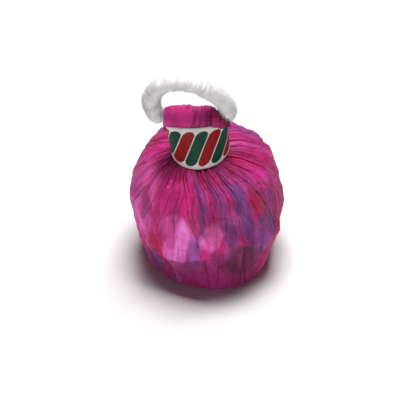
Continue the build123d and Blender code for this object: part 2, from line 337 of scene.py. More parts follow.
def polygon(table, theta):
    """Radius and height along straight chords between the table's corners, theta in degrees."""
    a = np.array(table, float)
    ang = np.r_[a[:, 0], a[0, 0] + 360]
    z, r = np.r_[a[:, 1], a[0, 1]], np.r_[a[:, 2], a[0, 2]]
    t = np.mod(theta - ang[0], 360) + ang[0]
    k = np.clip(np.searchsorted(ang, t, side="right") - 1, 0, len(a) - 1)
    d1, d2 = np.radians(t - ang[k]), np.radians(ang[k + 1] - t)
    rr = r[k] * r[k + 1] * np.sin(d1 + d2) / np.maximum(r[k] * np.sin(d1) + r[k + 1] * np.sin(d2), 1e-9)
    f = (t - ang[k]) / (ang[k + 1] - ang[k])
    return rr, z[k] * (1 - f) + z[k + 1] * f


# columns: five for each tuck and a few for the panel between it and the next
N_T = len(TUCKS)
S_END = np.array([t[1] for t in TUCKS])
DEPTH = np.array([t[2] for t in TUCKS])
LAP = np.array([t[3] for t in TUCKS])


def tuck_angle(i, s):
    pts = np.array(TUCKS[i % N_T][0], float)
    return np.interp(s, pts[:, 0], pts[:, 1]) + 360 * (i // N_T)


col_tuck, col_role, col_u = [], [], []
for i in range(N_T):
    gap = tuck_angle(i + 1, 14.0) - tuck_angle(i, 14.0)
    mid = tuck_angle(i, 14.0) + gap / 2
    fine = -200 < mid < 12
    n = max(3, int(round(gap / (1.12 if fine else 1.9))))
    col_tuck += [i] * (5 + n)
    col_role += [0, 1, 2, 3, 4] + [5] * n
    col_u += [0] * 5 + [(k + 1) / (n + 1) for k in range(n)]
while len(col_tuck) % 4:  # one panel gets more, so that the neck's pleats close up
    i = N_T - 1
    n = sum(1 for a, b in zip(col_tuck, col_role) if a == i and b == 5) + 1
    keep = len(col_tuck) - (n - 1)
    col_tuck = col_tuck[:keep] + [i] * n
    col_role = col_role[:keep] + [5] * n
    col_u = col_u[:keep] + [(k + 1) / (n + 1) for k in range(n)]
col_tuck, col_role, col_u = np.array(col_tuck), np.array(col_role), np.array(col_u)
NC = len(col_tuck)
WEDGE = np.array([0.0, 0.55, 1.0, 0.55, 0.0])
SIDE = np.array([-1.0, -0.6, 0.0, 0.6, 1.0])


def column_angles(s, radius, extra):
    """Angles in degrees of all columns at run s, and how deep and how high each lies."""
    lo = np.array([tuck_angle(i, s) for i in range(N_T + 1)])
    fade = 1 - smooth01((s - S_END + 7) / 7)
    depth = DEPTH * fade * (1 if s > 14 else 1.15) * (1 - smooth01(-s / 2.5))
    if s > 12:
        depth = np.minimum(depth, 2.0)
    width = 0.15 + 0.12 * (1 - fade)
    lip = 0.32 * fade + 0.05
    depth, width, lip = (np.r_[x, x[0]] for x in (depth, width, lip))
    lap = np.r_[LAP, LAP[0]]
    deg = 180 / np.pi / radius
    ang, sink, rise = np.zeros(NC), np.zeros(NC), np.zeros(NC)
    tuck = col_role < 5
    i, k = col_tuck[tuck], col_role[tuck]
    ang[tuck] = lo[i] + (SIDE[k] * width[i] + lap[i] * 0.45 * depth[i] * WEDGE[k]) * deg
    sink[tuck] = depth[i] * WEDGE[k] + 0.10 * (k == 2)
    left_up = np.where(lap[i] > 0, 1.0, -0.25) * lip[i]
    right_up = np.where(lap[i] > 0, -0.25, 1.0) * lip[i]
    rise[tuck] = np.where(SIDE[k] < 0, left_up, np.where(SIDE[k] > 0, right_up, (left_up + right_up) / 2))
    p = ~tuck
    i, u = col_tuck[p], col_u[p]
    a, b = lo[i] + width[i] * deg, lo[i + 1] - width[i + 1] * deg
    ang[p] = a + u * (b - a)
    wide = np.maximum((b - a) / deg, 0.01)
    beta = 0.17 * (1 - smooth01((s - 2) / 15)) + 0.062 * (1 - smooth01((s - 18) / 16)) + 0.012
    r_up = np.where(lap[i] > 0, -0.25, 1.0) * lip[i]
    l_up = np.where(lap[i + 1] > 0, 1.0, -0.25) * lip[i + 1]
    skew = u ** np.where(lap[i] > 0, 0.72, 1.38)
    calm = np.exp(-((lo[i] + 14) / 34) ** 2) + np.exp(-((lo[i] + 180) / 14) ** 2)
    rise[p] = beta * (1 - 0.55 * calm) * np.minimum(wide, 5.5) * (4 * skew * (1 - skew)) ** 0.62 + r_up * np.exp(-u * wide / 0.9) + l_up * np.exp(-(1 - u) * wide / 0.9)
    return ang, sink * extra, rise


COLS_NEAR_TOP = np.array([0.0, -0.5, -1.0, -0.5])[np.arange(NC) % 4]
pleat_rand = hash01(np.arange(NC) // 4, np.zeros(NC), 31)

rows_xyz, rows_theta, rows_run, rows_sink = [], [], [], []
lid_rows = []


def add_row(xyz, theta, s, sink):
    rows_xyz.append(xyz)
    rows_theta.append(theta)
    rows_run.append(np.full(NC, s))
    rows_sink.append(sink)


# crumpled lid of gathered edges in the neck's mouth, then the pleated neck
ang0, _, _ = column_angles(0.0, 9.4, 0.0)
phi0 = np.radians(ang0)
for q, up in ((0.05, 0.25), (0.2, 0.45), (0.4, 0.15), (0.6, 0.35), (0.8, 0.05)):
    p = neck_point(np.full(NC, 1.0), phi0, -0.95)
    c = NECK_LOW + (NECK_HIGH - NECK_LOW) * 1.0
    wob = facets(ang0 / 360 * 24, np.full(NC, q * 5), 41, 24)
    x = c + (p - c) * q
    x[:, 2] += up + 0.45 * wob - 0.5
    lid_rows.append(x)
for t in np.linspace(1.0, 0.09, 13):
    s = -13.0 * (t - 0.09) / 0.91
    deep = (4.4 - 1.5 * t) * (0.75 + 0.5 * pleat_rand)
    p = neck_point(np.full(NC, t), phi0, -0.80)
    c = NECK_LOW + (NECK_HIGH - NECK_LOW) * t
    d = p - c
    ln = np.linalg.norm(d, axis=1, keepdims=True)
    lean = 0.5 * COLS_NEAR_TOP * deep * 0.35
    tang = np.stack([-d[:, 1], d[:, 0], 0 * d[:, 0]], 1) / ln
    x = p + d / ln * (COLS_NEAR_TOP * np.minimum(deep, ln[:, 0] * 0.62))[:, None] + tang * lean[:, None]
    add_row(x, ang0, s - 0.6, -COLS_NEAR_TOP * deep)

# skin of the ball, from the band down to the ridge
N_UP = 78
up_fracs = np.linspace(0, 1, N_UP) ** 1.12
probe = np.linspace(-200, 160, NC, endpoint=False)
RIDGE_R, RIDGE_Z = polygon(RIDGE, probe)
s_ridge_probe = np.interp(-RIDGE_Z, -Z_TAB, S_TAB)


def ridge_at(theta):
    r, z = polygon(RIDGE, theta)
    return r, z, np.interp(-z, -Z_TAB, S_TAB)


def sideways(theta):
    """0 in front and 1 at the sides and back, where the sheet turns under in a round."""
    return smooth01((np.abs(np.mod(theta + 93 + 180, 360) - 180) - 36) / 26)


def front_flat(theta):
    """How flat the panels above the ridge are: most in front, some elsewhere."""
    d = np.abs(np.mod(theta + 92 + 180, 360) - 180)
    return 0.3 + 0.6 * (1 - smooth01((d - 30) / 30))




def crease_lines(theta, s_, seed):
    """0 to 1 along thin creases: most run with the gathers, some cross them."""
    w_ = 0.5 * soft_noise(theta / 360 * 30, s_ / 5, seed, 30)
    a = np.abs(facets(theta / 360 * 30 + 0.5 * w_, s_ / 13.0 + w_, seed + 1, 30))
    b = np.abs(facets(theta / 360 * 22 + w_ + np.floor(s_ / 400), s_ / 7.5 + 0.04 * np.abs(np.mod(theta, 90) - 45), seed + 2, 22))
    d_ = np.abs(facets(theta / 360 * 64 + w_, s_ / 9.0, seed + 3, 64))
    return np.maximum(np.maximum(np.exp(-(a / 0.12) ** 2), 0.8 * np.exp(-(b / 0.11) ** 2)), 0.7 * np.exp(-(d_ / 0.17) ** 2))


for row, f in enumerate(up_fracs):
    s_typ = 0.2 + f * 34.0
    ang, sink, rise = column_angles(s_typ, float(np.interp(s_typ, S_TAB, R_TAB)), 1.0)
    rr, rz, rs = ridge_at(ang)
    s = 0.05 + f * (rs - 0.05)
    R, Z = np.interp(s, S_TAB, R_TAB), np.interp(s, S_TAB, Z_TAB)
    Z = Z - 0.7 * smooth01((np.sin(np.radians(ang)) - 0.05) / 0.6) * np.exp(-((s - 9) / 7) ** 2)
    near = smooth01((f - 0.42) / 0.58) ** 1.3
    R = R - (np.interp(rs, S_TAB, R_TAB) - rr) * near
    s_mid = rs - 15.5
    r_mid = np.interp(s_mid, S_TAB, R_TAB) - 0.9 * front_flat(ang)
    g = np.clip((s - s_mid) / (rs - s_mid), 0, 1)
    flat = front_flat(ang)
    over = smooth01((s - (s_mid - 9)) / 9) * (g <= 0)
    R = np.where(g > 0, R * (1 - flat) + (r_mid * (1 - g) + rr * g) * flat, R - 0.9 * flat * flat * over)
    R = R + 0.28 * np.exp(-(rs - s) / 0.9) * (0.4 + 0.6 * flat)
    R = R - 0.55 * np.exp(-(((np.mod(ang + 180, 360) - 180) - 2) / 34) ** 2) * np.exp(-((Z - 31) / 8) ** 2)
    th = np.radians(ang)
    # outward normal of the smooth ball
    e = 0.3
    dR = np.interp(s + e, S_TAB, R_TAB) - np.interp(s - e, S_TAB, R_TAB)
    dZ = np.interp(s + e, S_TAB, Z_TAB) - np.interp(s - e, S_TAB, Z_TAB)
    ln = np.hypot(dR, dZ)
    nr, nz = -dZ / ln, dR / ln
    warp = 0.35 * soft_noise(ang / 360 * 18, s / 9, 3, 18)
    low = smooth01((s - 5) / 14)
    h = rise.copy()
    low_end_ = 1 - 0.7 * smooth01((f - 0.90) / 0.10)
    h += (0.45 + 0.55 * low) * facets(ang / 360 * 21 + warp, s / 10 + warp, 5, 21) * low_end_
    h += 0.55 * low * facets(ang / 360 * 13 - 0.25 * s / 10, s / 15 + 0.4 * warp, 6, 13) * low_end_
    h += (0.26 + 0.24 * low) * facets(ang / 360 * 46 + 2 * warp, s / 7.0 - warp, 9, 46) * low_end_
    h += (0.26 - 0.12 * low) * facets(ang / 360 * 84 + 3 * warp, s / 13.0 + 0.5 * warp, 11, 84)
    h += 0.19 * facets(ang / 360 * 120 + 4 * warp, s / 4.0, 13, 120)
    h += 0.09 * facets(ang / 360 * 220 + 6 * warp, s / 2.1, 14, 220)
    cr = crease_lines(ang, s, 201) * smooth01((s - 1) / 5)
    h -= 0.30 * cr
    # small pleats just under the band, fading out at their own rate
    fade = np.exp(-s / (1.6 + 3.2 * pleat_rand))
    h += COLS_NEAR_TOP * (0.9 + 0.9 * pleat_rand) * fade
    h -= sink
    w = 1 - smooth01(s / 11)
    R = R - 0.95 * w
    x, y = R * np.cos(th), R * np.sin(th)
    z = Z + w * (0.75 - LEAN_X * x - LEAN_Y * y)
    px = x - 2.2 * w + nr * h * np.cos(th)
    py = y - 0.15 * w + nr * h * np.sin(th)
    pz = z + nz * h
    add_row(np.stack([px, py, pz], 1), ang, s_typ, np.maximum(sink, 0.60 * cr))
    last_s = s

# flat panels from the ridge down to the heel
ang_r, sink_r = rows_theta[-1], rows_sink[-1]
ridge_pts = rows_xyz[-1].copy()
hr, hz = polygon(HEEL, ang_r)
th = np.radians(ang_r)
heel_pts = np.stack([hr * np.cos(th), hr * np.sin(th), hz], 1)
radial = np.stack([np.cos(th), np.sin(th), 0 * th], 1)
SIDEWAYS = sideways(ang_r)
# long creases down the turned-under panels: (run, angle) at the top and at the heel
LOW_CREASES = [((31, -157), (53, -134)), ((34, -130), (53, -119)), ((34, -93), (53, -88)), ((34, -61), (53, -54)),
               ((34, -34), (53, -44)), ((34, 30), (53, 26)), ((34, 85), (53, 92)), ((34, 140), (53, 133))]
for b in np.linspace(0, 1, 24)[1:]:
    s_here = 34.5 + b * 18
    x = ridge_pts * (1 - b) + heel_pts * b
    sag = (-0.30 + 1.0 * SIDEWAYS) * math.sin(math.pi * b) - 0.25 * math.exp(-b / 0.05) * (1 - SIDEWAYS) + 0.25 * (b > 0.9)
    warp = 0.3 * soft_noise(ang_r / 360 * 18, np.full(NC, s_here / 9), 3, 18)
    h = sag + 0.50 * facets(ang_r / 360 * 20 + warp, np.full(NC, s_here / 8) + warp, 17, 20) * math.sin(math.pi * min(1, b * 1.3)) \
        + 0.22 * facets(ang_r / 360 * 46 + 2 * warp, np.full(NC, s_here / 5.5), 19, 46) \
        + 0.08 * facets(ang_r / 360 * 120 + 4 * warp, np.full(NC, s_here / 2.6), 23, 120)
    cr = crease_lines(ang_r, np.full(NC, s_here), 201)
    for (s0, a0), (s1, a1) in LOW_CREASES:
        off = np.abs(np.mod(ang_r - np.interp(s_here, [s0, s1], [a0, a1]) + 180, 360) - 180) * np.pi / 180 * 22
        h = h - 0.75 * math.sin(math.pi * min(1, b * 1.1 + 0.1)) * np.exp(-off / 1.5)
        cr = np.maximum(cr, 1.6 * np.exp(-(off / 0.5) ** 2))
    x = x + radial * (h - 0.28 * cr * min(1, 4 * b) * min(1, 4 * (1 - b)))[:, None]
    add_row(x, ang_r, s_here, np.maximum(sink_r * (1 - b), 0.60 * cr))
# underside
for r, z in ((0.93, 0.45), (0.84, 0.12), (0.7, 0.05), (0.5, 0.1), (0.3, 0.05), (0.1, 0.1)):
    x = heel_pts * r
    x[:, 2] = z + 0.10 * (1 + facets(ang_r / 360 * 26, np.full(NC, r * 7), 29, 26))
    add_row(x, ang_r, 55 + (1 - r) * 18, sink_r * 0)

XYZ = np.stack(rows_xyz)
THETA = np.stack(rows_theta)
RUN = np.stack(rows_run)
SINK = np.stack(rows_sink)
XYZ[..., 2] = np.maximum(XYZ[..., 2], 0.0)
NR = len(XYZ)


# ------------------------------------------------------------------- the dye, with painted light and shade
MAGENTA, PINK, VIOLET = srgb(200, 36, 122), srgb(255, 126, 216), srgb(122, 62, 134)
LAVENDER, CRIMSON, MAROON = srgb(172, 92, 176), srgb(192, 16, 82), srgb(112, 14, 66)
# (angle, run, half width, half length, colour, strength) in degrees and mm
PATCHES = [
    (-95, 10, 1.9, 9, VIOLET, 0.62), (-92, 20, 1.9, 8, VIOLET, 0.55), (-100, 29.5, 2.4, 6.5, LAVENDER, 0.85),
    (-79, 9, 1.9, 9, VIOLET, 0.6), (-74, 20, 2.4, 9, VIOLET, 0.62), (-69, 28, 3.0, 8, VIOLET, 0.7),
    (-58, 8, 2.8, 10, VIOLET, 0.9), (-56, 19, 3.4, 12, VIOLET, 0.85), (-53, 29, 3.0, 8, VIOLET, 0.6),
    (-19, 13, 3.4, 5, LAVENDER, 0.3), (-26, 20, 4.0, 7, VIOLET, 0.55), (-37, 28, 5.0, 8, VIOLET, 0.75),
    (-42, 35, 4.0, 6, VIOLET, 0.6), (-42, 15.5, 3.2, 5, CRIMSON, 0.85), (-34, 19, 2.5, 3.5, CRIMSON, 0.5),
    # painted shade: the maroon patch at angle 2, run 6 darkens the shoulder beside the band
    (-134, 31, 4.4, 5.0, CRIMSON, 0.8), (2, 6, 7.0, 6.5, MAROON, 0.24), (-165, 10, 5.0, 6, PINK, 0.10), (-18, 26, 2.8, 12, CRIMSON, 0.7),
    (-110, 25, 3.1, 8.5, PINK, 0.88), (-114, 32, 4.0, 4, PINK, 0.8), (-86, 27, 4.6, 5.5, PINK, 0.42),
    (-122, 31, 3.0, 5, PINK, 0.45), (-160, 14, 7.0, 8, PINK, 0.10), (-152, 24, 6.5, 8, PINK, 0.50), (-117, 22, 6.0, 6, PINK, 0.30), (-104, 20, 4.5, 5, PINK, 0.15), (-68, 22, 3.5, 4, PINK, 0.12), (-38, 9, 3.5, 6, VIOLET, 0.35),
    (-176, 22, 3.0, 8, PINK, 0.20), (-60, 41, 7.5, 6, MAROON, 0.60), (-54, 36, 4.5, 4, MAROON, 0.4),
    (-140, 43, 4.0, 7, VIOLET, 0.75), (-100, 38, 4.0, 3, VIOLET, 0.55), (-128, 46, 3.5, 6, CRIMSON, 0.4),
    (-60, 3, 9.0, 5, CRIMSON, 0.4), (-12, 12, 8.0, 9, CRIMSON, 0.12), (-30, 45, 6.0, 6, CRIMSON, 0.35),
    (40, 10, 5, 8, VIOLET, 0.6), (62, 22, 6, 9, PINK, 0.6), (85, 12, 4, 9, CRIMSON, 0.6), (105, 24, 5, 9, VIOLET, 0.75),
    (128, 14, 4, 8, LAVENDER, 0.7), (150, 26, 6, 8, PINK, 0.5), (160, 10, 5, 6, CRIMSON, 0.4), (30, 30, 6, 8, VIOLET, 0.6),
    (75, 38, 6, 7, MAROON, 0.5), (120, 42, 7, 6, CRIMSON, 0.5), (10, 40, 6, 7, VIOLET, 0.5), (165, 40, 5, 6, VIOLET, 0.6),
]


def dye_and_painted_light(theta, s):
    """Colour of the tissue at an angle and run: the dye, with painted light and shade on the crumple facets, the
    front-left side, thin creases and below the ridge.
    """
    r_here = np.interp(np.clip(s, 0, S_TAB[-1]), S_TAB, R_TAB)
    w1 = soft_noise(theta / 360 * 44, s / 6.0, 51, 44) + 0.6 * soft_noise(theta / 360 * 110, s / 3.4, 52, 110)
    w2 = soft_noise(theta / 360 * 60, s / 7.0, 61, 60) + 0.8 * soft_noise(theta / 360 * 150, s / 5.0, 62, 150)
    col = np.tile(np.array(MAGENTA), (len(theta), 1))
    tone = soft_noise(theta / 360 * 28, s / 8.0, 71, 28)
    col = col * (1 + 0.09 * tone)[:, None]
    red = smooth01((soft_noise(theta / 360 * 24, s / 10.0, 73, 24) - 0.1) / 0.7)[:, None] * 0.30
    col = col * (1 - red) + np.array(CRIMSON) * red
    pale = smooth01((soft_noise(theta / 360 * 30, s / 12.0, 75, 30) - 0.15) / 0.6)[:, None] * 0.22
    col = col * (1 - pale) + np.array(PINK) * pale
    for a, run_, hw, hl, c, k in PATCHES:
        dx = (np.mod(theta - a + 180, 360) - 180) * np.pi / 180 * np.maximum(r_here, 6) + 0.6 * w1
        dy = s - run_ + 1.0 * w2
        d = 0.6 * np.sqrt((dx / hw) ** 2 + (dy / hl) ** 2) + 0.27 * (np.abs(dx) / hw + np.abs(dy) / hl)
        m = (1 - smooth01((d - 0.62) / 0.5))[:, None] * k
        col = col * (1 - m) + np.array(c) * m
    # painted light and shade: each crumple facet is lightened or darkened by its slope
    warp_ = 0.35 * soft_noise(theta / 360 * 18, s / 9, 3, 18)
    for k_, n_, len_, wu, wv, seed in ((0.085, 21, 10.0, 1, 1, 5), (0.060, 46, 7.0, 2, -1, 9), (0.025, 84, 13.0, 3, 0.5, 11)):
        u_, v_ = theta / 360 * n_ + wu * warp_, s / len_ + wv * warp_
        slope = (facets(u_ + 0.08, v_, seed, n_) - facets(u_ - 0.08, v_, seed, n_)) / 0.16
        lean_ = (facets(u_, v_ + 0.08, seed, n_) - facets(u_, v_ - 0.08, seed, n_)) / 0.16
        col = col * (1 + k_ * np.clip(slope - 0.7 * lean_, -2.5, 2.5))[:, None]
    # painted light: the front-left side above the ridge is lightened
    col = col * (1 + 0.16 * np.exp(-((np.mod(theta + 138 + 180, 360) - 180) / 34) ** 2) * (1 - smooth01((s - 30) / 5)))[:, None]
    # random streaks in the dye, and painted shade along thin creases
    streak = 1.25 * soft_noise(theta / 360 * 130, s / 9.0, 77, 130) + 0.7 * soft_noise(theta / 360 * 260, s / 6.0, 79, 260)
    fine_ = np.abs(facets(theta / 360 * 96 + 0.6 * warp_, s / 10.0 + warp_, 97, 96))
    col = col * ((1 + 0.17 * streak) * (1 - 0.24 * np.exp(-(fine_ / 0.16) ** 2)))[:, None]
    # painted shade: darker below the ridge where the sheet turns under, less at the sides
    under = (smooth01((s - 33.5) / (2.5 + 5 * sideways(theta))) * (1 - 0.45 * sideways(theta)))[:, None]
    col = col * (1 - under * np.array([0.50, 0.38, 0.36]))
    return np.clip(col, 0.004, 1)


def thicken(verts, quads, tris, thick):
    """A skin given a second side thick mm behind it; returns the points and faces of both."""
    full = quads
    n = vertex_normals(verts, np.vstack([quads, np.c_[tris, tris[:, 2]]]) if len(tris) else quads)
    inner = verts - n * thick
    k = len(verts)
    q = np.vstack([full, full[:, ::-1] + k])
    t = np.vstack([tris, tris[:, ::-1] + k]) if len(tris) else tris
    return np.vstack([verts, inner]), q, t


verts = XYZ.reshape(-1, 3)
quads = grid_faces(NR, NC, True)[:, ::-1]
low_c = len(verts)
verts = np.vstack([verts, (0, 0, 0.12)])
c = np.arange(NC)
tris = np.stack([np.full(NC, low_c), (NR - 1) * NC + (c + 1) % NC, (NR - 1) * NC + c], 1)
# outward check: the side faces must look away from the middle
probe_q = quads[len(quads) // 2]
pn = np.cross(verts[probe_q[2]] - verts[probe_q[0]], verts[probe_q[3]] - verts[probe_q[1]])
if pn @ (verts[probe_q].mean(0) - (0, 0, 24)) < 0:
    quads, tris = quads[:, ::-1], tris[:, ::-1]
theta_v = np.r_[THETA.reshape(-1), 0]
run_v = np.r_[RUN.reshape(-1), 72]
sink_v = np.r_[SINK.reshape(-1), 0]
colour_v = dye_and_painted_light(theta_v, run_v)
# painted shade: tucks and creases are darkened by their depth
colour_v *= (1 - 0.45 * smooth01(sink_v / 1.2))[:, None]
fold_v = np.stack([theta_v * np.pi / 180 * 20.0, run_v, sink_v], 1)
skin = [(verts, quads, tris, colour_v, fold_v)]


# ============================================== tail of the sheet over the loop
def neck_front(x, t, off, front=True):
    """y and z of the neck's front or back skin at a given x."""
    t = np.asarray(t, float)
    c = NECK_LOW + (NECK_HIGH - NECK_LOW) * t[..., None]
    rx = NECK_R + (TOP_RX - NECK_R) * t + off
    ry = NECK_R + ((TOP_FRONT if front else TOP_BACK) - NECK_R) * t + off
    k = np.clip((x - c[..., 0]) / rx, -1, 1)
    y = (-1 if front else 1) * ry * np.sqrt(np.maximum(1 - k * k, 0))
    return c[..., 1] + y, c[..., 2] - LEAN_X * (x - c[..., 0]) - LEAN_Y * y


def on_roll(phi, r):
    """y and z on a circle about the hinge; phi in degrees, 0 in front and 90 on top."""
    a = np.radians(phi)
    return HINGE[1] - r * np.cos(a), HINGE[2] + r * np.sin(a)


def tail_wrinkle(x, p, side):
    """Height of the wrinkles that fan out of the band over the tail."""
    right = smooth01((x + 6.5) / 6.0)
    fan = x + (0.10 * x + 0.15) * (1 - 2 * np.abs(p - 0.5)) + 0.25 * soft_noise(x / 2.5 + 40, p * 5 + side, 81, 4096)
    a = facets(fan / 0.85 + 60, p * 1.6 + 0.2 * fan, 83, 4096)
    b = facets(fan / 1.9 + 60, p * 2.4 - 0.1 * fan, 85, 4096)
    c = facets(fan / 0.42 + 60, p * 2.0, 87, 4096)
    big = soft_noise(fan / 3.4 + 60, p * 2.6, 89, 4096)
    line_ = np.abs(facets(fan / 1.9 + 60, p * 2.2 + 0.15 * fan, 90, 4096))
    return (0.10 + 0.28 * right) * a + (0.20 + 0.16 * right) * b + (0.05 + 0.05 * right) * c + 0.32 * big - (0.24 + 0.06 * right) * np.exp(-(line_ / 0.15) ** 2)


NX, NP = 190, 96
xs = np.linspace(-14.25, 2.5, NX)
ps = np.linspace(0, 1, NP)
X, P = np.meshgrid(xs, ps, indexing="ij")
fy0, fz0 = neck_front(X, np.full(X.shape, 0.93), -0.5)
by0, bz0 = neck_front(X, np.full(X.shape, 0.93), -0.5, False)
edge_in = smooth01((-12.9 - X) / 1.5)
end_l = np.sqrt(np.clip(1 - ((X + 11.6) / -2.9) ** 2, 0, 1)) * (X < -11.6) + (X >= -11.6)
roll = 3.38 - 1.2 * (1 - end_l) + 0.22 * np.sin(np.pi * np.clip((X + 14.3) / 16.8, 0, 1)) ** 0.7 - 0.25 * smooth01((X - 0.6) / 1.8)
lo_phi, hi_phi = -36.0, 190.0
fy1, fz1 = neck_front(X, np.full(X.shape, 1.12), -0.42)
by1, bz1 = neck_front(X, np.full(X.shape, 1.10), -0.42, False)
f = np.clip((P - 0.24) / 0.48, 0, 1)
lo_phi_tail, f_tail = lo_phi, f
yA, zA = on_roll(lo_phi + (hi_phi - lo_phi) * f, roll)
yF, zF = on_roll(lo_phi, roll)
yB, zB = on_roll(hi_phi, roll)
g1 = np.clip(P / 0.24, 0, 1)
g2 = np.clip((P - 0.72) / 0.28, 0, 1)
def leg(g, a0, a1, a2):
    return np.where(g < 0.6, a0 + (a1 - a0) * g / 0.6, a1 + (a2 - a1) * (g - 0.6) / 0.4)


Y = np.where(P < 0.24, leg(g1, fy0, fy1, yF), np.where(P > 0.72, leg(1 - g2, by0, by1, yB), yA))
Z = np.where(P < 0.24, leg(g1, fz0, fz1, zF), np.where(P > 0.72, leg(1 - g2, bz0, bz1, zB), zA))
tail = np.stack([X, Y, Z], -1)
dX = np.gradient(tail, axis=0)
dP = np.gradient(tail, axis=1)
nn = np.cross(dX, dP)
nn /= np.maximum(np.linalg.norm(nn, axis=-1, keepdims=True), 1e-9)
mid = np.stack([X, np.full(X.shape, HINGE[1]), np.full(X.shape, 61.0)], -1)
nn = np.where(np.sum(nn * (tail - mid), -1, keepdims=True) < 0, -nn, nn)
w = tail_wrinkle(X, P, 0) - 0.75 * np.exp(-((X + 6.4) / 0.75) ** 2) * np.exp(-((lo_phi + (hi_phi - lo_phi) * f - 96) / 20) ** 2)
keep_out = np.where((P > 0.2) & (P < 0.78), 0.16, 0.0)
tail_w = w
tail = tail + nn * (w * (0.2 + 0.8 * smooth01((P - 0.13) / 0.08)))[..., None]
# the far left rim curls in a little
rr = np.hypot(tail[..., 1] - HINGE[1], tail[..., 2] - HINGE[2])
floor_r = np.where((P > 0.2) & (P < 0.76), 2.95 - 0.6 * (1 - end_l), 0.0)
push = np.maximum(floor_r - rr, 0)
tail[..., 1] += (tail[..., 1] - HINGE[1]) / np.maximum(rr, 1e-6) * push
tail[..., 2] += (tail[..., 2] - HINGE[2]) / np.maximum(rr, 1e-6) * push


def sheet_grid(pts, thick):
    """A grid of points made into a thin sheet with both sides and a rim; returns points and quads."""
    a, b = pts.shape[:2]
    v = pts.reshape(-1, 3)
    q = grid_faces(a, b, False)
    n = vertex_normals(v, q)
    k = len(v)
    idx = np.arange(k).reshape(a, b)
    rim = np.concatenate([idx[0, :], idx[1:, -1], idx[-1, -2::-1], idx[-2:0:-1, 0]])
    nxt = np.roll(rim, -1)
    rim_q = np.stack([rim, nxt, nxt + k, rim + k], 1)
    return np.vstack([v + n * thick / 2, v - n * thick / 2]), np.vstack([q, q[:, ::-1] + k, rim_q])


def turned_out(v, q, middle):
    """Quads turned so that the first side of a sheet looks away from middle."""
    n = len(q) // 2 - 1
    half = q[: n // 2]
    c = v[half].mean(1)
    a = np.cross(v[half[:, 2]] - v[half[:, 0]], v[half[:, 3]] - v[half[:, 1]])
    return q if np.sum(a * (c - middle)) > 0 else q[:, ::-1]


tail_v, tail_q = sheet_grid(tail, 0.14)
tail_q = turned_out(tail_v, tail_q, np.array([-6, -2, 61.5]))
tail_theta = np.r_[(X * 5 - 60).reshape(-1), (X * 5 - 60).reshape(-1)]
tail_run = np.r_[(P * 26 - 40).reshape(-1), (P * 26 - 40).reshape(-1)]

# lip of the sheet in front of the loop's right arm, standing up out of the band
LX, LP = 90, 46
xs = np.linspace(1.4, 7.5, LX)
ps = np.linspace(0, 1, LP)
X2, P2 = np.meshgrid(xs, ps, indexing="ij")
fy0, fz0 = neck_front(X2, np.full(X2.shape, 0.95), -0.5)
fy1, fz1 = neck_front(X2, np.full(X2.shape, 1.12), -0.42)
top_phi = np.interp(X2, [1.4, 2.4, 3.3, 4.9, 6.4, 7.2, 7.5], [112, 92, 72, 54, 42, 24, 0])
lo_phi = np.interp(X2, [1.4, 5.0, 7.5], [-36, -36, -34])
r2 = np.interp(X2, [1.4, 3, 6, 7.5], [3.72, 3.85, 3.8, 3.6])
f = np.clip((P2 - 0.4) / 0.6, 0, 1)
yA, zA = on_roll(lo_phi + (top_phi - lo_phi) * f, r2)
yF, zF = on_roll(lo_phi, r2)
g1 = np.clip(P2 / 0.4, 0, 1)
Y2 = np.where(P2 < 0.4, leg(g1, fy0, fy1, yF), yA)
Z2 = np.where(P2 < 0.4, leg(g1, fz0, fz1, zF), zA)
lip = np.stack([X2, Y2, Z2], -1)
out2 = lip - np.stack([X2, np.full(X2.shape, HINGE[1] + 0.5), np.full(X2.shape, 60.5)], -1)
out2[..., 0] = 0
out2 /= np.linalg.norm(out2, axis=-1, keepdims=True)
w = tail_wrinkle(X2, P2 * 0.45, 0)
lip_w = w
lip = lip + out2 * (w * 0.9 * (0.2 + 0.8 * smooth01((P2 - 0.22) / 0.14)))[..., None]
lip[..., 2] += 0.35 * P2 * facets(X2 / 0.9 + 30, X2 * 0, 91, 4096)
rr = np.hypot(lip[..., 1] - HINGE[1], lip[..., 2] - HINGE[2])
push = np.where(P2 > 0.35, np.maximum(3.42 - rr, 0), 0)
lip[..., 1] += (lip[..., 1] - HINGE[1]) / np.maximum(rr, 1e-6) * push
lip[..., 2] += (lip[..., 2] - HINGE[2]) / np.maximum(rr, 1e-6) * push
lip_v, lip_q = sheet_grid(lip, 0.14)
lip_q = turned_out(lip_v, lip_q, np.array([5, 0, 60.0]))
lip_theta = np.r_[(X2 * 5 - 60).reshape(-1), (X2 * 5 - 60).reshape(-1)]
lip_run = np.r_[(P2 * 11 - 40).reshape(-1), (P2 * 11 - 40).reshape(-1)]


def tail_colour(x, run_):
    """Colour of the tail: mostly magenta dye with a violet touch at the far left; the right end is darkened to maroon
    as painted shade.
    """
    col = np.tile(np.array(srgb(190, 44, 122)), (len(x), 1))
    a = smooth01(soft_noise(x / 3.1 + 50, run_ / 5 + 50, 93, 4096) * 0.9)[:, None] * 0.5
    col = col * (1 - a) + np.array(PINK) * a
    b = smooth01(soft_noise(x / 2.6 + 80, run_ / 6 + 80, 95, 4096) * 0.9)[:, None] * 0.4
    col = col * (1 - b) + np.array(CRIMSON) * b
    # painted shade: the right end darkens towards maroon
    c = (smooth01((x - 0.5) / 5.0) * 0.7)[:, None]
    col = col * (1 - c) + np.array(MAROON) * 0.8 * c
    c = (smooth01((-12.0 - x) / 2.0) * 0.25)[:, None]
    return col * (1 - c) + np.array(VIOLET) * c


def tissue_object(name, v, quads_, tris_, colour, fold):
    ob = new_mesh(name, v, quads_, tris_ if len(tris_) else None)
    point_colour(ob, "dye_and_painted_light", colour)
    point_vector(ob, "fold", fold)
    return ob


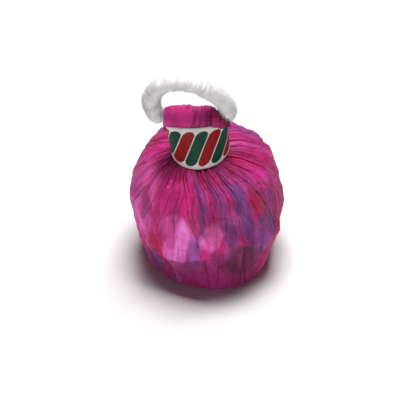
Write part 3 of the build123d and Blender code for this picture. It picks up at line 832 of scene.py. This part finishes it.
# ------------------------------------------------------------------ tissue material
m = Mat("tissue_dye_and_painted_light")
dye_and_light_node = m.attr("dye_and_painted_light")
fold = m.attr("fold")
geo = m.add("ShaderNodeTexCoord")
pos = geo.outputs["Object"]
fine = m.noise(pos, 950, 4, 0.6)
fibre = m.noise(m.scaled(pos, (1.0, 1.0, 0.22)), 2600, 2, 0.5)
blot = m.noise(pos, 210, 5, 0.62, 0.6)
grain = m.noise(pos, 5200, 2, 0.5)
tone = m.ramp(blot, 0.34, 0.68, 0.92, 1.07)
tone = m.math("MULTIPLY", tone, m.ramp(fibre, 0.3, 0.7, 0.93, 1.07))
tone = m.math("MULTIPLY", tone, m.ramp(fine, 0.3, 0.7, 0.95, 1.05))
crinkle = m.add("ShaderNodeTexVoronoi", feature="DISTANCE_TO_EDGE")
warp_n = m.add("ShaderNodeTexNoise")
m.link(pos, warp_n.inputs["Vector"])
warp_n.inputs["Scale"].default_value = 260
mixv = m.add("ShaderNodeVectorMath", operation="MULTIPLY_ADD")
m.link(warp_n.outputs["Color"], mixv.inputs[0])
mixv.inputs[1].default_value = (0.0022, 0.0022, 0.0022)
m.link(pos, mixv.inputs[2])
m.link(mixv.outputs[0], crinkle.inputs["Vector"])
crinkle.inputs["Scale"].default_value = 430
crossed = m.add("ShaderNodeTexVoronoi", feature="DISTANCE_TO_EDGE")
m.link(m.scaled(mixv.outputs[0], (1.0, 1.0, 0.55)), crossed.inputs["Vector"])
crossed.inputs["Scale"].default_value = 250
# painted shade: the fine crinkles and crossing creases are darkened along their lines
tone = m.math("MULTIPLY", tone, m.ramp(crinkle.outputs["Distance"], 0.0, 0.09, 0.96, 1.01))
tone = m.math("MULTIPLY", tone, m.ramp(crossed.outputs["Distance"], 0.0, 0.10, 0.94, 1.01))
vec = m.add("ShaderNodeVectorMath", operation="SCALE")
m.link(dye_and_light_node.outputs["Color"], vec.inputs[0])
m.link(tone, vec.inputs["Scale"])
# painted highlight: pale pink where the paper is creased outwards
point = m.add("ShaderNodeNewGeometry")
crease_highlight = m.ramp(point.outputs["Pointiness"], 0.52, 0.62, 0.0, 0.35)
colour = m.mix(crease_highlight, vec.outputs[0], srgb(236, 126, 190))
m.link(colour, m.s.inputs["Base Color"])
m.link(m.ramp(fine, 0.3, 0.7, 0.58, 0.78), m.s.inputs["Roughness"])
m.s.inputs["Specular IOR Level"].default_value = 0.22
m.s.inputs["Sheen Weight"].default_value = 0.06
m.s.inputs["Sheen Roughness"].default_value = 0.5
m.s.inputs["Sheen Tint"].default_value = (1.0, 0.72, 0.86, 1.0)
ck = m.math("ADD", m.ramp(crinkle.outputs["Distance"], 0.0, 0.12), m.ramp(crossed.outputs["Distance"], 0.0, 0.16))
n1 = m.bump(ck, 0.00013, 0.55)
n2 = m.bump(fine, 0.00030, 0.6, n1)
n3 = m.bump(m.math("ADD", fibre, grain), 0.00003, 0.5, n2)
m.link(n3, m.s.inputs["Normal"])
TISSUE = m.m

wrap = tissue_object("tissue_wrapper_sheet", *[skin[0][i] for i in (0, 1, 2, 3, 4)])
# painted light and shade: the colour is multiplied by a shade map, lightened on the wrinkles' crests and darkened in
# their troughs
def creased(col, w_, shade=1.0):
    k_ = np.r_[w_.reshape(-1), w_.reshape(-1)]
    col = col * (np.r_[shade.reshape(-1), shade.reshape(-1)][:, None] if np.ndim(shade) else shade)
    return col * (1 + 1.35 * np.clip(k_, -0.42, 0.22))[:, None]


turn = lo_phi_tail + (hi_phi - lo_phi_tail) * f_tail
tail_shade = 1 - 0.62 * np.exp(-((turn - 137) / 8) ** 2) * smooth01((-3.5 - X) / 1.5)
tail_shade = tail_shade * (1 - 0.62 * np.exp(-(turn + 36) / 26) * (turn < 90)) * (1 - 0.25 * smooth01((X + 1.5) / 3))
tail_ob = tissue_object("tissue_tail_sheet", tail_v, tail_q, [], creased(tail_colour(tail_v[:, 0], tail_run), tail_w, tail_shade), np.stack([tail_v[:, 0], tail_run, tail_run * 0], 1))
lip_ob = tissue_object("tissue_lip_sheet", lip_v, lip_q, [], creased(tail_colour(lip_v[:, 0], lip_run), lip_w), np.stack([lip_v[:, 0], lip_run, lip_run * 0], 1))
lid = np.stack(lid_rows)
lid_v = np.vstack([lid.reshape(-1, 3), lid[0].mean(0)])
lid_q = grid_faces(len(lid), NC, True)
lid_t = np.stack([np.full(NC, len(lid_v) - 1), np.arange(NC), (np.arange(NC) + 1) % NC], 1)
lid_run = np.full(len(lid_v), -20.0)
# painted shade: the gathered edges deep in the neck's mouth are darkened to 0.6 of the tail colour
core_ob = tissue_object("tissue_gathered_edges", lid_v, lid_q, lid_t, tail_colour(lid_v[:, 0], lid_v[:, 1]) * 0.6, np.stack([lid_v[:, 0], lid_run, lid_run * 0], 1))
for ob in (wrap, tail_ob, lip_ob, core_ob):
    ob.data.materials.append(TISSUE)
    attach(ob, "ball")
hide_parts("tissue_wrapper")
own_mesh(lip_ob)

# =============================================================== the paper band
BN, BT = 260, 22
phi = np.linspace(0, 2 * np.pi, BN, endpoint=False) - np.pi / 2
taus = np.linspace(0, 1, BT)
out_pts, in_pts, s_mm, t_mm = [], [], [], []
wave = 0.010 * soft_noise(phi * 180 / np.pi / 360 * 9, np.zeros(BN), 97, 9) + 0.006 * soft_noise(phi * 180 / np.pi / 360 * 23, np.zeros(BN), 98, 23)
wave2 = 0.012 * soft_noise(phi * 180 / np.pi / 360 * 8, np.ones(BN), 99, 8) + 0.006 * soft_noise(phi * 180 / np.pi / 360 * 21, np.ones(BN), 98, 21)
H_BAND = 13.5
SHOW_LOW, SHOW_HIGH = 0.115, 1.14
back_dip = 0.165 * smooth01((np.sin(phi) - 0.05) / 0.6)
for tau in taus:
    t = (SHOW_LOW + wave) * (1 - tau) + (SHOW_HIGH - back_dip + wave2) * tau
    dent = 0.10 * soft_noise(phi * 180 / np.pi / 360 * 14, np.full(BN, tau * 2.2), 101, 14) + 0.035 * soft_noise(phi * 180 / np.pi / 360 * 40, np.full(BN, tau * 4), 103, 40)
    flare = 0.10 * (abs(tau - 0.5) * 2) ** 6
    o = neck_point(t, phi, 0.14 + dent + flare)
    i = neck_point(t, phi, -0.14 + dent + flare)
    out_pts.append(o)
    in_pts.append(i)
mid_ring = out_pts[BT // 2]
seg = np.linalg.norm(np.roll(mid_ring, -1, 0) - mid_ring, axis=1)
s_ring = np.r_[0, np.cumsum(seg)[:-1]]
GIRTH = float(seg.sum())
s_ring = np.where(s_ring > GIRTH / 2, s_ring - GIRTH, s_ring)  # 0 is the middle of the front
o, i = np.stack(out_pts), np.stack(in_pts)
bv = np.vstack([o.reshape(-1, 3), i.reshape(-1, 3)])
k = BT * BN
q_o = grid_faces(BT, BN, True)
c = np.arange(BN)
d = (c + 1) % BN
rim_low = np.stack([c, c + k, d + k, d], 1)
hi = (BT - 1) * BN
rim_hi = np.stack([hi + c, hi + d, hi + d + k, hi + c + k], 1)
bq = np.vstack([q_o, q_o[:, ::-1] + k, rim_low, rim_hi])
n_probe = np.cross(bv[bq[0, 2]] - bv[bq[0, 0]], bv[bq[0, 3]] - bv[bq[0, 1]])
if n_probe @ (bv[bq[0]].mean(0) - NECK_LOW) < 0:
    bq = bq[:, ::-1]
band = new_mesh("paper_band_wrap", bv, bq)
tt = np.repeat(taus * H_BAND, BN)
ss = np.tile(s_ring, BT)
side = np.r_[np.zeros(k), np.ones(k)]
point_vector(band, "strip", np.stack([np.r_[ss, ss], np.r_[tt, tt], side], 1))

# lap where the strip's end is glued down at the back
LN = 34
lphi = np.radians(90) + np.linspace(-0.42, 0.42, LN)
lap = np.stack([neck_point(np.full(LN, SHOW_LOW * (1 - tau) + (SHOW_HIGH - 0.165) * tau), lphi, 0.18 + 0.10 * (abs(tau - 0.5) * 2) ** 6 + 0.22) for tau in taus])
lap_v, lap_q = sheet_grid(lap, 0.28)
lap_q = turned_out(lap_v, lap_q, np.array([-3, 0, 52.0]))
lap_ob = new_mesh("paper_band_lap", lap_v, lap_q)
ls = np.tile(np.linspace(-3.6, 3.6, LN) + 1.9, BT)
lt = np.repeat(taus * H_BAND, LN)
point_vector(lap_ob, "strip", np.stack([np.r_[ls, ls], np.r_[lt, lt], np.r_[np.zeros(LN * BT), np.ones(LN * BT)]], 1))

BAR_PITCH, BAR_W, BAR_SLANT, BAR_SHIFT = 4.42, 4.10, 0.50, -0.36
m = Mat("paper_printed")
at = m.attr("strip")
xyz = m.add("ShaderNodeSeparateXYZ")
m.link(at.outputs["Vector"], xyz.inputs[0])
s, t, inner = xyz.outputs
pos = m.add("ShaderNodeTexCoord").outputs["Object"]
wob = m.noise(m.scaled(at.outputs["Vector"], (1, 1, 1)), 1.4, 4, 0.6)
wob = m.math("MULTIPLY", m.math("SUBTRACT", wob, 0.5), 0.30)
lean_s = m.math("SUBTRACT", s, m.math("MULTIPLY", m.math("SUBTRACT", t, H_BAND / 2), BAR_SLANT))
q = m.math("ADD", m.math("DIVIDE", lean_s, BAR_PITCH), BAR_SHIFT + 40.0)
cell = m.math("FLOOR", q)
frac = m.math("SUBTRACT", m.math("SUBTRACT", q, cell), 0.5)
cosa = 1 / math.sqrt(1 + BAR_SLANT ** 2)
across = m.math("MULTIPLY", frac, BAR_PITCH * cosa)
r_bar = BAR_W / 2 * cosa
low_end, top_end = 0.8 + r_bar, H_BAND - 1.3 - r_bar
over = m.math("MAXIMUM", m.math("SUBTRACT", low_end, t), m.math("SUBTRACT", t, top_end))
over = m.math("MAXIMUM", over, 0.0)
d2 = m.math("ADD", m.math("MULTIPLY", across, across), m.math("MULTIPLY", over, over))
dist = m.math("ADD", m.math("SQRT", d2), m.math("MULTIPLY", wob, 0.35))
bar = m.ramp(dist, r_bar - 0.09, r_bar + 0.07, 1.0, 0.0)
even = m.math("MODULO", cell, 2.0)
ink_noise = m.noise(m.scaled(at.outputs["Vector"], (1.0, 1.0, 1.0)), 5.0, 5, 0.7)
wear = m.ramp(m.noise(m.scaled(at.outputs["Vector"], (1.0, 0.7, 1.0)), 3.0, 6, 0.75), 0.62, 0.76, 0.0, 0.35)
green = m.mix(ink_noise, srgb(0, 42, 30), srgb(4, 86, 60))
red = m.mix(ink_noise, srgb(120, 2, 8), srgb(176, 8, 16))
ink = m.mix(even, red, green)
paper = m.mix(m.noise(pos, 380, 5, 0.6), srgb(214, 208, 206), srgb(247, 244, 241))
stain = m.ramp(m.noise(pos, 130, 3, 0.6), 0.52, 0.74, 0.0, 0.28)
paper = m.mix(stain, paper, srgb(226, 196, 206))
cover = m.math("MULTIPLY", bar, m.math("SUBTRACT", 1.0, m.math("MULTIPLY", wear, 0.6)))
cover = m.math("MULTIPLY", cover, m.math("SUBTRACT", 1.0, inner))
m.link(m.mix(cover, paper, ink), m.s.inputs["Base Color"])
m.link(m.ramp(ink_noise, 0.3, 0.7, 0.42, 0.6), m.s.inputs["Roughness"])
m.s.inputs["Specular IOR Level"].default_value = 0.16
fib = m.noise(m.scaled(pos, (1, 1, 0.35)), 3000, 3, 0.6)
crease = m.noise(pos, 420, 4, 0.55)
b1 = m.bump(crease, 0.0004, 0.5)
b2 = m.bump(fib, 0.00003, 0.6, b1)
b3 = m.bump(cover, 0.00002, 0.6, b2)
m.link(b3, m.s.inputs["Normal"])
PRINTED = m.m
for ob in (band, lap_ob):
    ob.data.materials.append(PRINTED)
    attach(ob, "ball")
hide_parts("paper_band")


# ================================================================ the finger loop
LOOP_POINTS = [(0.0, 0.0), (12.8, 0.0), (12.9, 5.4), (8.9, 11.6), (3.2, 16.3), (-4.2, 19.0), (-9.6, 16.6), (-12.7, 9.6), (-10.7, 0.0)]
LOOP_FILLETS = [3.4, 6.0, 12.0, 9.0, 5.5, 6.0, 9.0, 3.3]
LOOP_LEAN = math.radians(8)


def loop_line(step=0.12):
    """Points of the loop's centre line in its own plane, evenly spaced, closed."""
    pts = [np.array(p) for p in LOOP_POINTS]
    n = len(pts)
    out = [pts[0]]
    for k in range(1, n):
        a, b, c = pts[k - 1], pts[k], pts[(k + 1) % n]
        r = LOOP_FILLETS[k - 1]
        u, v = (a - b) / np.linalg.norm(a - b), (c - b) / np.linalg.norm(c - b)
        half = math.acos(np.clip(u @ v, -1, 1)) / 2
        cut = r / math.tan(half)
        ctr = b + (u + v) / np.linalg.norm(u + v) * r / math.sin(half)
        p1, p2 = b + u * cut, b + v * cut
        a1, a2 = math.atan2(*(p1 - ctr)[::-1]), math.atan2(*(p2 - ctr)[::-1])
        turn = (a2 - a1 + math.pi) % (2 * math.pi) - math.pi
        out += [ctr + r * np.array((math.cos(a1 + turn * j / 24), math.sin(a1 + turn * j / 24))) for j in range(25)]
    out = np.array(out + [pts[0]])
    run_ = np.r_[0, np.cumsum(np.linalg.norm(np.diff(out, axis=0), axis=1))]
    m_ = int(run_[-1] / step)
    g = np.linspace(0, run_[-1], m_, endpoint=False)
    return np.stack([np.interp(g, run_, out[:, 0]), np.interp(g, run_, out[:, 1])], 1), g, run_[-1]


line, line_run, LOOP_LEN = loop_line()


def loop_place(u, v, w=0.0):
    """A point of the loop's own plane, and w out of it towards the front, in the row frame."""
    u, v, w = np.broadcast_arrays(u, v, w)
    s_, c_ = math.sin(LOOP_LEAN), math.cos(LOOP_LEAN)
    return np.stack([HINGE[0] + u, HINGE[1] - v * s_ - w * c_, HINGE[2] + v * c_ - w * s_], -1)


centre = loop_place(line[:, 0], line[:, 1])
tang = np.roll(centre, -1, 0) - np.roll(centre, 1, 0)
tang /= np.linalg.norm(tang, axis=1, keepdims=True)
out_n = loop_place(0.0, 0.0, 1.0) - loop_place(0.0, 0.0, 0.0)
side_n = np.cross(tang, out_n)
in_tunnel = (np.abs(line[:, 0]) < 8.75) & (line[:, 1] < 1.0)
gap = (np.abs(line[:, 0]) < 1.3) & (line[:, 1] < 1.0)
ML = len(line)
# pile radius along the loop: pressed flat in the tunnel, uneven outside
u_at = np.arange(ML) / ML
puff = soft_noise(u_at * 34, u_at * 0, 111, 34) * 0.18 + soft_noise(u_at * 90, u_at * 0, 113, 90) * 0.10
pinch = np.zeros(ML)
for spot in (0.415, 0.47, 0.525, 0.60, 0.70):
    pinch += np.exp(-(((u_at - spot) / 0.006) ** 2)) * 0.30
for spot in (0.428, 0.440, 0.452, 0.465, 0.478):  # where the pile parts at the bend
    pinch += np.exp(-(((u_at - spot) / 0.0026) ** 2)) * 0.62
reach = 3.02 + puff - pinch
d_tun = np.where(line[:, 1] < 1.0, 8.9 - np.abs(line[:, 0]), -5.0)
squeeze = smooth01((d_tun + 1.2) / 1.6)
reach = reach * (1 - squeeze) + 2.08 * squeeze
reach = np.where(gap, 0.0, reach)

# dense heart of the pile
CS = 30
heart_v, heart_q = [], []
ring_phi = np.linspace(0, 2 * np.pi, CS, endpoint=False)
order = np.argsort(np.where(gap, 1, 0), kind="stable")
first = int(np.argmax(~gap & np.roll(gap, 1)))
solid_idx = [(first + j) % ML for j in range(ML) if not gap[(first + j) % ML]]
solid_idx = np.array(solid_idx)[::2]
for n_, j in enumerate(solid_idx):
    r = reach[j] * 0.88
    endk = min(n_, len(solid_idx) - 1 - n_)
    r *= min(1.0, 0.35 + 0.3 * endk)
    bumpy = 0.05 * soft_noise(ring_phi / (2 * np.pi) * 9, np.full(CS, j * 0.12 / 1.3), 117, 9) + 0.035 * facets(ring_phi / (2 * np.pi) * 24, np.full(CS, j * 0.12 / 0.45), 119, 24)
    rad = r * (1 + bumpy)
    heart_v.append(centre[j] + rad[:, None] * (np.cos(ring_phi)[:, None] * side_n[j] + np.sin(ring_phi)[:, None] * out_n))
heart_rows = len(heart_v)
hv = np.vstack(heart_v + [centre[solid_idx[0]][None], centre[solid_idx[-1]][None]])
hq = grid_faces(heart_rows, CS, True)
cidx = np.arange(CS)
ht = np.vstack([
    np.stack([np.full(CS, heart_rows * CS), (cidx + 1) % CS, cidx], 1),
    np.stack([np.full(CS, heart_rows * CS + 1), (heart_rows - 1) * CS + cidx, (heart_rows - 1) * CS + (cidx + 1) % CS], 1),
])

# fibres, each a slim three-sided spike standing out of the twisted wire
rng = np.random.default_rng(23)
NF = 30000
fj = rng.uniform(0, ML, NF)
j0 = fj.astype(int) % ML
fr = fj - np.floor(fj)
c0 = centre[j0] * (1 - fr[:, None]) + centre[(j0 + 1) % ML] * fr[:, None]
R_f = reach[j0]
ok = (R_f > 1.0)
twist = line_run[j0] * 2.2
fphi = rng.uniform(0, 2 * np.pi, NF)
# fibres crowd into two rows that wind round the wire
fphi = fphi - 0.32 * np.sin(2 * (fphi - twist))
rad_dir = np.cos(fphi)[:, None] * side_n[j0] + np.sin(fphi)[:, None] * out_n
tan_dir = -np.sin(fphi)[:, None] * side_n[j0] + np.cos(fphi)[:, None] * out_n
long_ = np.clip(rng.normal(1.07, 0.065, NF), 0.9, 1.22)
tip_r = R_f * long_
base_r = R_f * 0.72
lean1 = rng.normal(0, 0.20, NF)
lean2 = rng.normal(0, 0.20, NF)
base_p = c0 + rad_dir * base_r[:, None]
tip_p = c0 + rad_dir * tip_r[:, None] + tang[j0] * (lean1 * (tip_r - base_r))[:, None] * 1.6 + tan_dir * (lean2 * (tip_r - base_r))[:, None] * 1.6
wide = rng.uniform(0.040, 0.075, NF)
ax1 = tan_dir * wide[:, None]
ax2 = tang[j0] * wide[:, None]
mid_p = base_p * 0.45 + tip_p * 0.55 + (tan_dir * rng.normal(0, 0.07, NF)[:, None] + tang[j0] * rng.normal(0, 0.07, NF)[:, None])
keep = ok
base_p, mid_p, tip_p, ax1, ax2 = (a[keep] for a in (base_p, mid_p, tip_p, ax1, ax2))
NK = len(base_p)
fv = np.stack([base_p + ax1, base_p - 0.5 * ax1 + 0.87 * ax2, base_p - 0.5 * ax1 - 0.87 * ax2, tip_p], 1).reshape(-1, 3)
b = np.arange(NK)[:, None] * 4
ft = np.hstack([b + [[0, 1, 3]], b + [[1, 2, 3]], b + [[2, 0, 3]], b + [[2, 1, 0]]]).reshape(-1, 3)
allv = np.vstack([hv, fv])
pile = new_mesh("chenille_pile_fibres", allv, hq, np.vstack([ht, ft + len(hv)]))
tipness = np.r_[np.full(len(hv), 0.25), np.tile([0.35, 0.35, 0.35, 1.0], NK)]
rand_f = np.r_[np.full(len(hv), 0.5), np.repeat(rng.uniform(0, 1, NK), 4)]
point_vector(pile, "hair", np.stack([tipness, rand_f, np.zeros(len(allv))], 1))
m = Mat("pile_fibre")
at = m.attr("hair")
xyz = m.add("ShaderNodeSeparateXYZ")
m.link(at.outputs["Vector"], xyz.inputs[0])
pos = m.add("ShaderNodeTexCoord").outputs["Object"]
base = m.mix(xyz.outputs[0], srgb(240, 239, 238), srgb(249, 248, 247))
base = m.mix(m.math("MULTIPLY", xyz.outputs[1], 0.30), base, srgb(238, 234, 235))
soil = m.ramp(m.noise(pos, 240, 4, 0.6), 0.50, 0.72, 0.0, 0.30)
base = m.mix(soil, base, srgb(222, 208, 214))
m.link(base, m.s.inputs["Base Color"])
m.link(m.ramp(m.noise(pos, 1800, 3, 0.6), 0.3, 0.7, 0.6, 0.85), m.s.inputs["Roughness"])
m.s.inputs["Specular IOR Level"].default_value = 0.2
m.s.inputs["Sheen Weight"].default_value = 0.5
m.s.inputs["Sheen Roughness"].default_value = 0.7
m.link(m.bump(m.noise(pos, 5200, 2, 0.5), 0.00003, 0.5), m.s.inputs["Normal"])
pile.data.materials.append(m.m)
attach(pile, "finger_loop")
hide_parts("loop_pile")


# ==================================================== CAD nodes that show as they are
def colour_range(low, high, scale, name, rough, metal=0.0, stripes=None, bump=0.00003):
    """A procedural finish of mottled colour, rough patches and grain for a carried-over node."""
    m = Mat(name)
    pos = m.add("ShaderNodeTexCoord").outputs["Object"]
    n = m.noise(pos, scale, 5, 0.6)
    col = m.mix(n, low, high)
    if stripes:
        wv = m.add("ShaderNodeTexWave", bands_direction=stripes[0])
        m.link(pos, wv.inputs["Vector"])
        wv.inputs["Scale"].default_value = stripes[1]
        wv.inputs["Distortion"].default_value = stripes[2]
        col = m.mix(m.math("MULTIPLY", wv.outputs["Fac"], stripes[3]), col, low)
        hgt = m.math("ADD", wv.outputs["Fac"], m.noise(pos, 2400, 3, 0.6))
    else:
        hgt = m.noise(pos, 2400, 3, 0.6)
    m.link(col, m.s.inputs["Base Color"])
    m.link(m.ramp(m.noise(pos, 900, 3, 0.6), 0.3, 0.7, rough - 0.1, rough + 0.1), m.s.inputs["Roughness"])
    m.s.inputs["Metallic"].default_value = metal
    m.link(m.bump(hgt, bump, 0.6), m.s.inputs["Normal"])
    return m.m


def wound_paper(name, base, deep):
    """Paper tape wound into a roll: rings on the flat ends, fibres along the tape."""
    m = Mat(name)
    pos = m.add("ShaderNodeTexCoord").outputs["Object"]
    wv = m.add("ShaderNodeTexWave", wave_type="BANDS", bands_direction="Z")
    m.link(pos, wv.inputs["Vector"])
    wv.inputs["Scale"].default_value = 620
    wv.inputs["Distortion"].default_value = 1.2
    wv.inputs["Detail"].default_value = 2
    fib = m.noise(m.scaled(pos, (1, 1, 0.2)), 2600, 3, 0.6)
    col = m.mix(m.noise(pos, 300, 4, 0.6), deep, base)
    col = m.mix(m.math("MULTIPLY", wv.outputs["Fac"], 0.35), col, deep)
    m.link(col, m.s.inputs["Base Color"])
    m.link(m.ramp(fib, 0.3, 0.7, 0.6, 0.8), m.s.inputs["Roughness"])
    m.link(m.bump(m.math("ADD", wv.outputs["Fac"], fib), 0.00005, 0.6), m.s.inputs["Normal"])
    return m.m


TAPES = {
    "tape_white": wound_paper("tape_paper_white", srgb(244, 242, 236), srgb(212, 208, 200)),
    "tape_pink": wound_paper("tape_paper_pink", srgb(246, 150, 186), srgb(214, 96, 146)),
    "tape_yellow": wound_paper("tape_paper_yellow", srgb(250, 224, 104), srgb(220, 178, 60)),
    "tape_blue": wound_paper("tape_paper_blue", srgb(120, 172, 226), srgb(74, 126, 190)),
    "tape_green": wound_paper("tape_paper_green", srgb(132, 206, 140), srgb(76, 158, 92)),
}
order_ = ["tape_white", "tape_pink", "tape_yellow", "tape_blue", "tape_green"]
for n_ in range(1, 21):
    row, kk = divmod(n_ - 1, 5)
    node = NODES[f"streamer_{n_:02d}"]
    node.data.materials.clear()
    node.data.materials.append(TAPES[order_[(kk + row) % 5]])
wire_mat = colour_range(srgb(150, 150, 152), srgb(206, 206, 208), 700, "wire_steel", 0.35, 1.0, ("DIAGONAL", 420, 1.0, 0.3), 0.00002)
thread_mat = colour_range(srgb(196, 190, 182), srgb(240, 236, 228), 900, "thread_cotton", 0.75, 0.0, ("DIAGONAL", 900, 0.6, 0.5), 0.00006)
for node_name, mat in (("loop_wire", wire_mat), ("tie_thread", thread_mat)):
    NODES[node_name].data.materials.clear()
    NODES[node_name].data.materials.append(mat)

# ====================================================================== the stage
floor_v = []
FLOOR = 1400.0
bm_pts = [(-FLOOR, -FLOOR, 0), (FLOOR, -FLOOR, 0), (FLOOR, FLOOR, 0), (-FLOOR, FLOOR, 0)]
floor = new_mesh("floor", np.array(bm_pts, float) - (0, 0, 0.02), np.array([[0, 1, 2, 3]]), smooth=False)
m = Mat("floor_pale")
pos = m.add("ShaderNodeTexCoord").outputs["Object"]
m.link(m.mix(m.noise(pos, 60, 3, 0.5), srgb(250, 250, 250), srgb(253, 253, 253)), m.s.inputs["Base Color"])
m.link(m.ramp(m.noise(pos, 400, 2, 0.5), 0.3, 0.7, 0.7, 0.8), m.s.inputs["Roughness"])
m.s.inputs["Specular IOR Level"].default_value = 0.1
floor.data.materials.append(m.m)

TARGET = Vector((-2.33, 0.0, 22.3)) * MM
ELEV = math.radians(45)
DIST = 3.333
cam_data = bpy.data.cameras.new("camera")
cam = bpy.data.objects.new("camera", cam_data)
scene.collection.objects.link(cam)
cam.location = TARGET + Vector((0, -math.cos(ELEV), math.sin(ELEV))) * DIST
cam.rotation_euler = (math.pi / 2 - ELEV, 0, 0)
cam_data.lens = 912
cam_data.sensor_width = 36
cam_data.clip_start = 0.05
cam_data.clip_end = 20
scene.camera = cam


def area(name, at_, aim, size, power, colour=(1, 1, 1)):
    d = bpy.data.lights.new(name, "AREA")
    d.shape = "SQUARE"
    d.size = size
    d.energy = power
    d.color = colour
    ob = bpy.data.objects.new(name, d)
    scene.collection.objects.link(ob)
    ob.location = at_
    ob.rotation_euler = (Vector(aim) - Vector(at_)).to_track_quat("-Z", "Y").to_euler()
    return ob


area("light_top", (0.03, 0.12, 0.75), (0, 0, 0.02), 0.36, 6.9)
area("light_front", (-0.12, -0.80, 0.04), (0, 0, 0.035), 0.078, 1.9)
world = bpy.data.worlds.new("studio")
scene.world = world
world.use_nodes = True
bg = world.node_tree.nodes["Background"]
bg.inputs[0].default_value = (1, 1, 1, 1)
bg.inputs[1].default_value = 0.03
scene.view_settings.view_transform = "Standard"
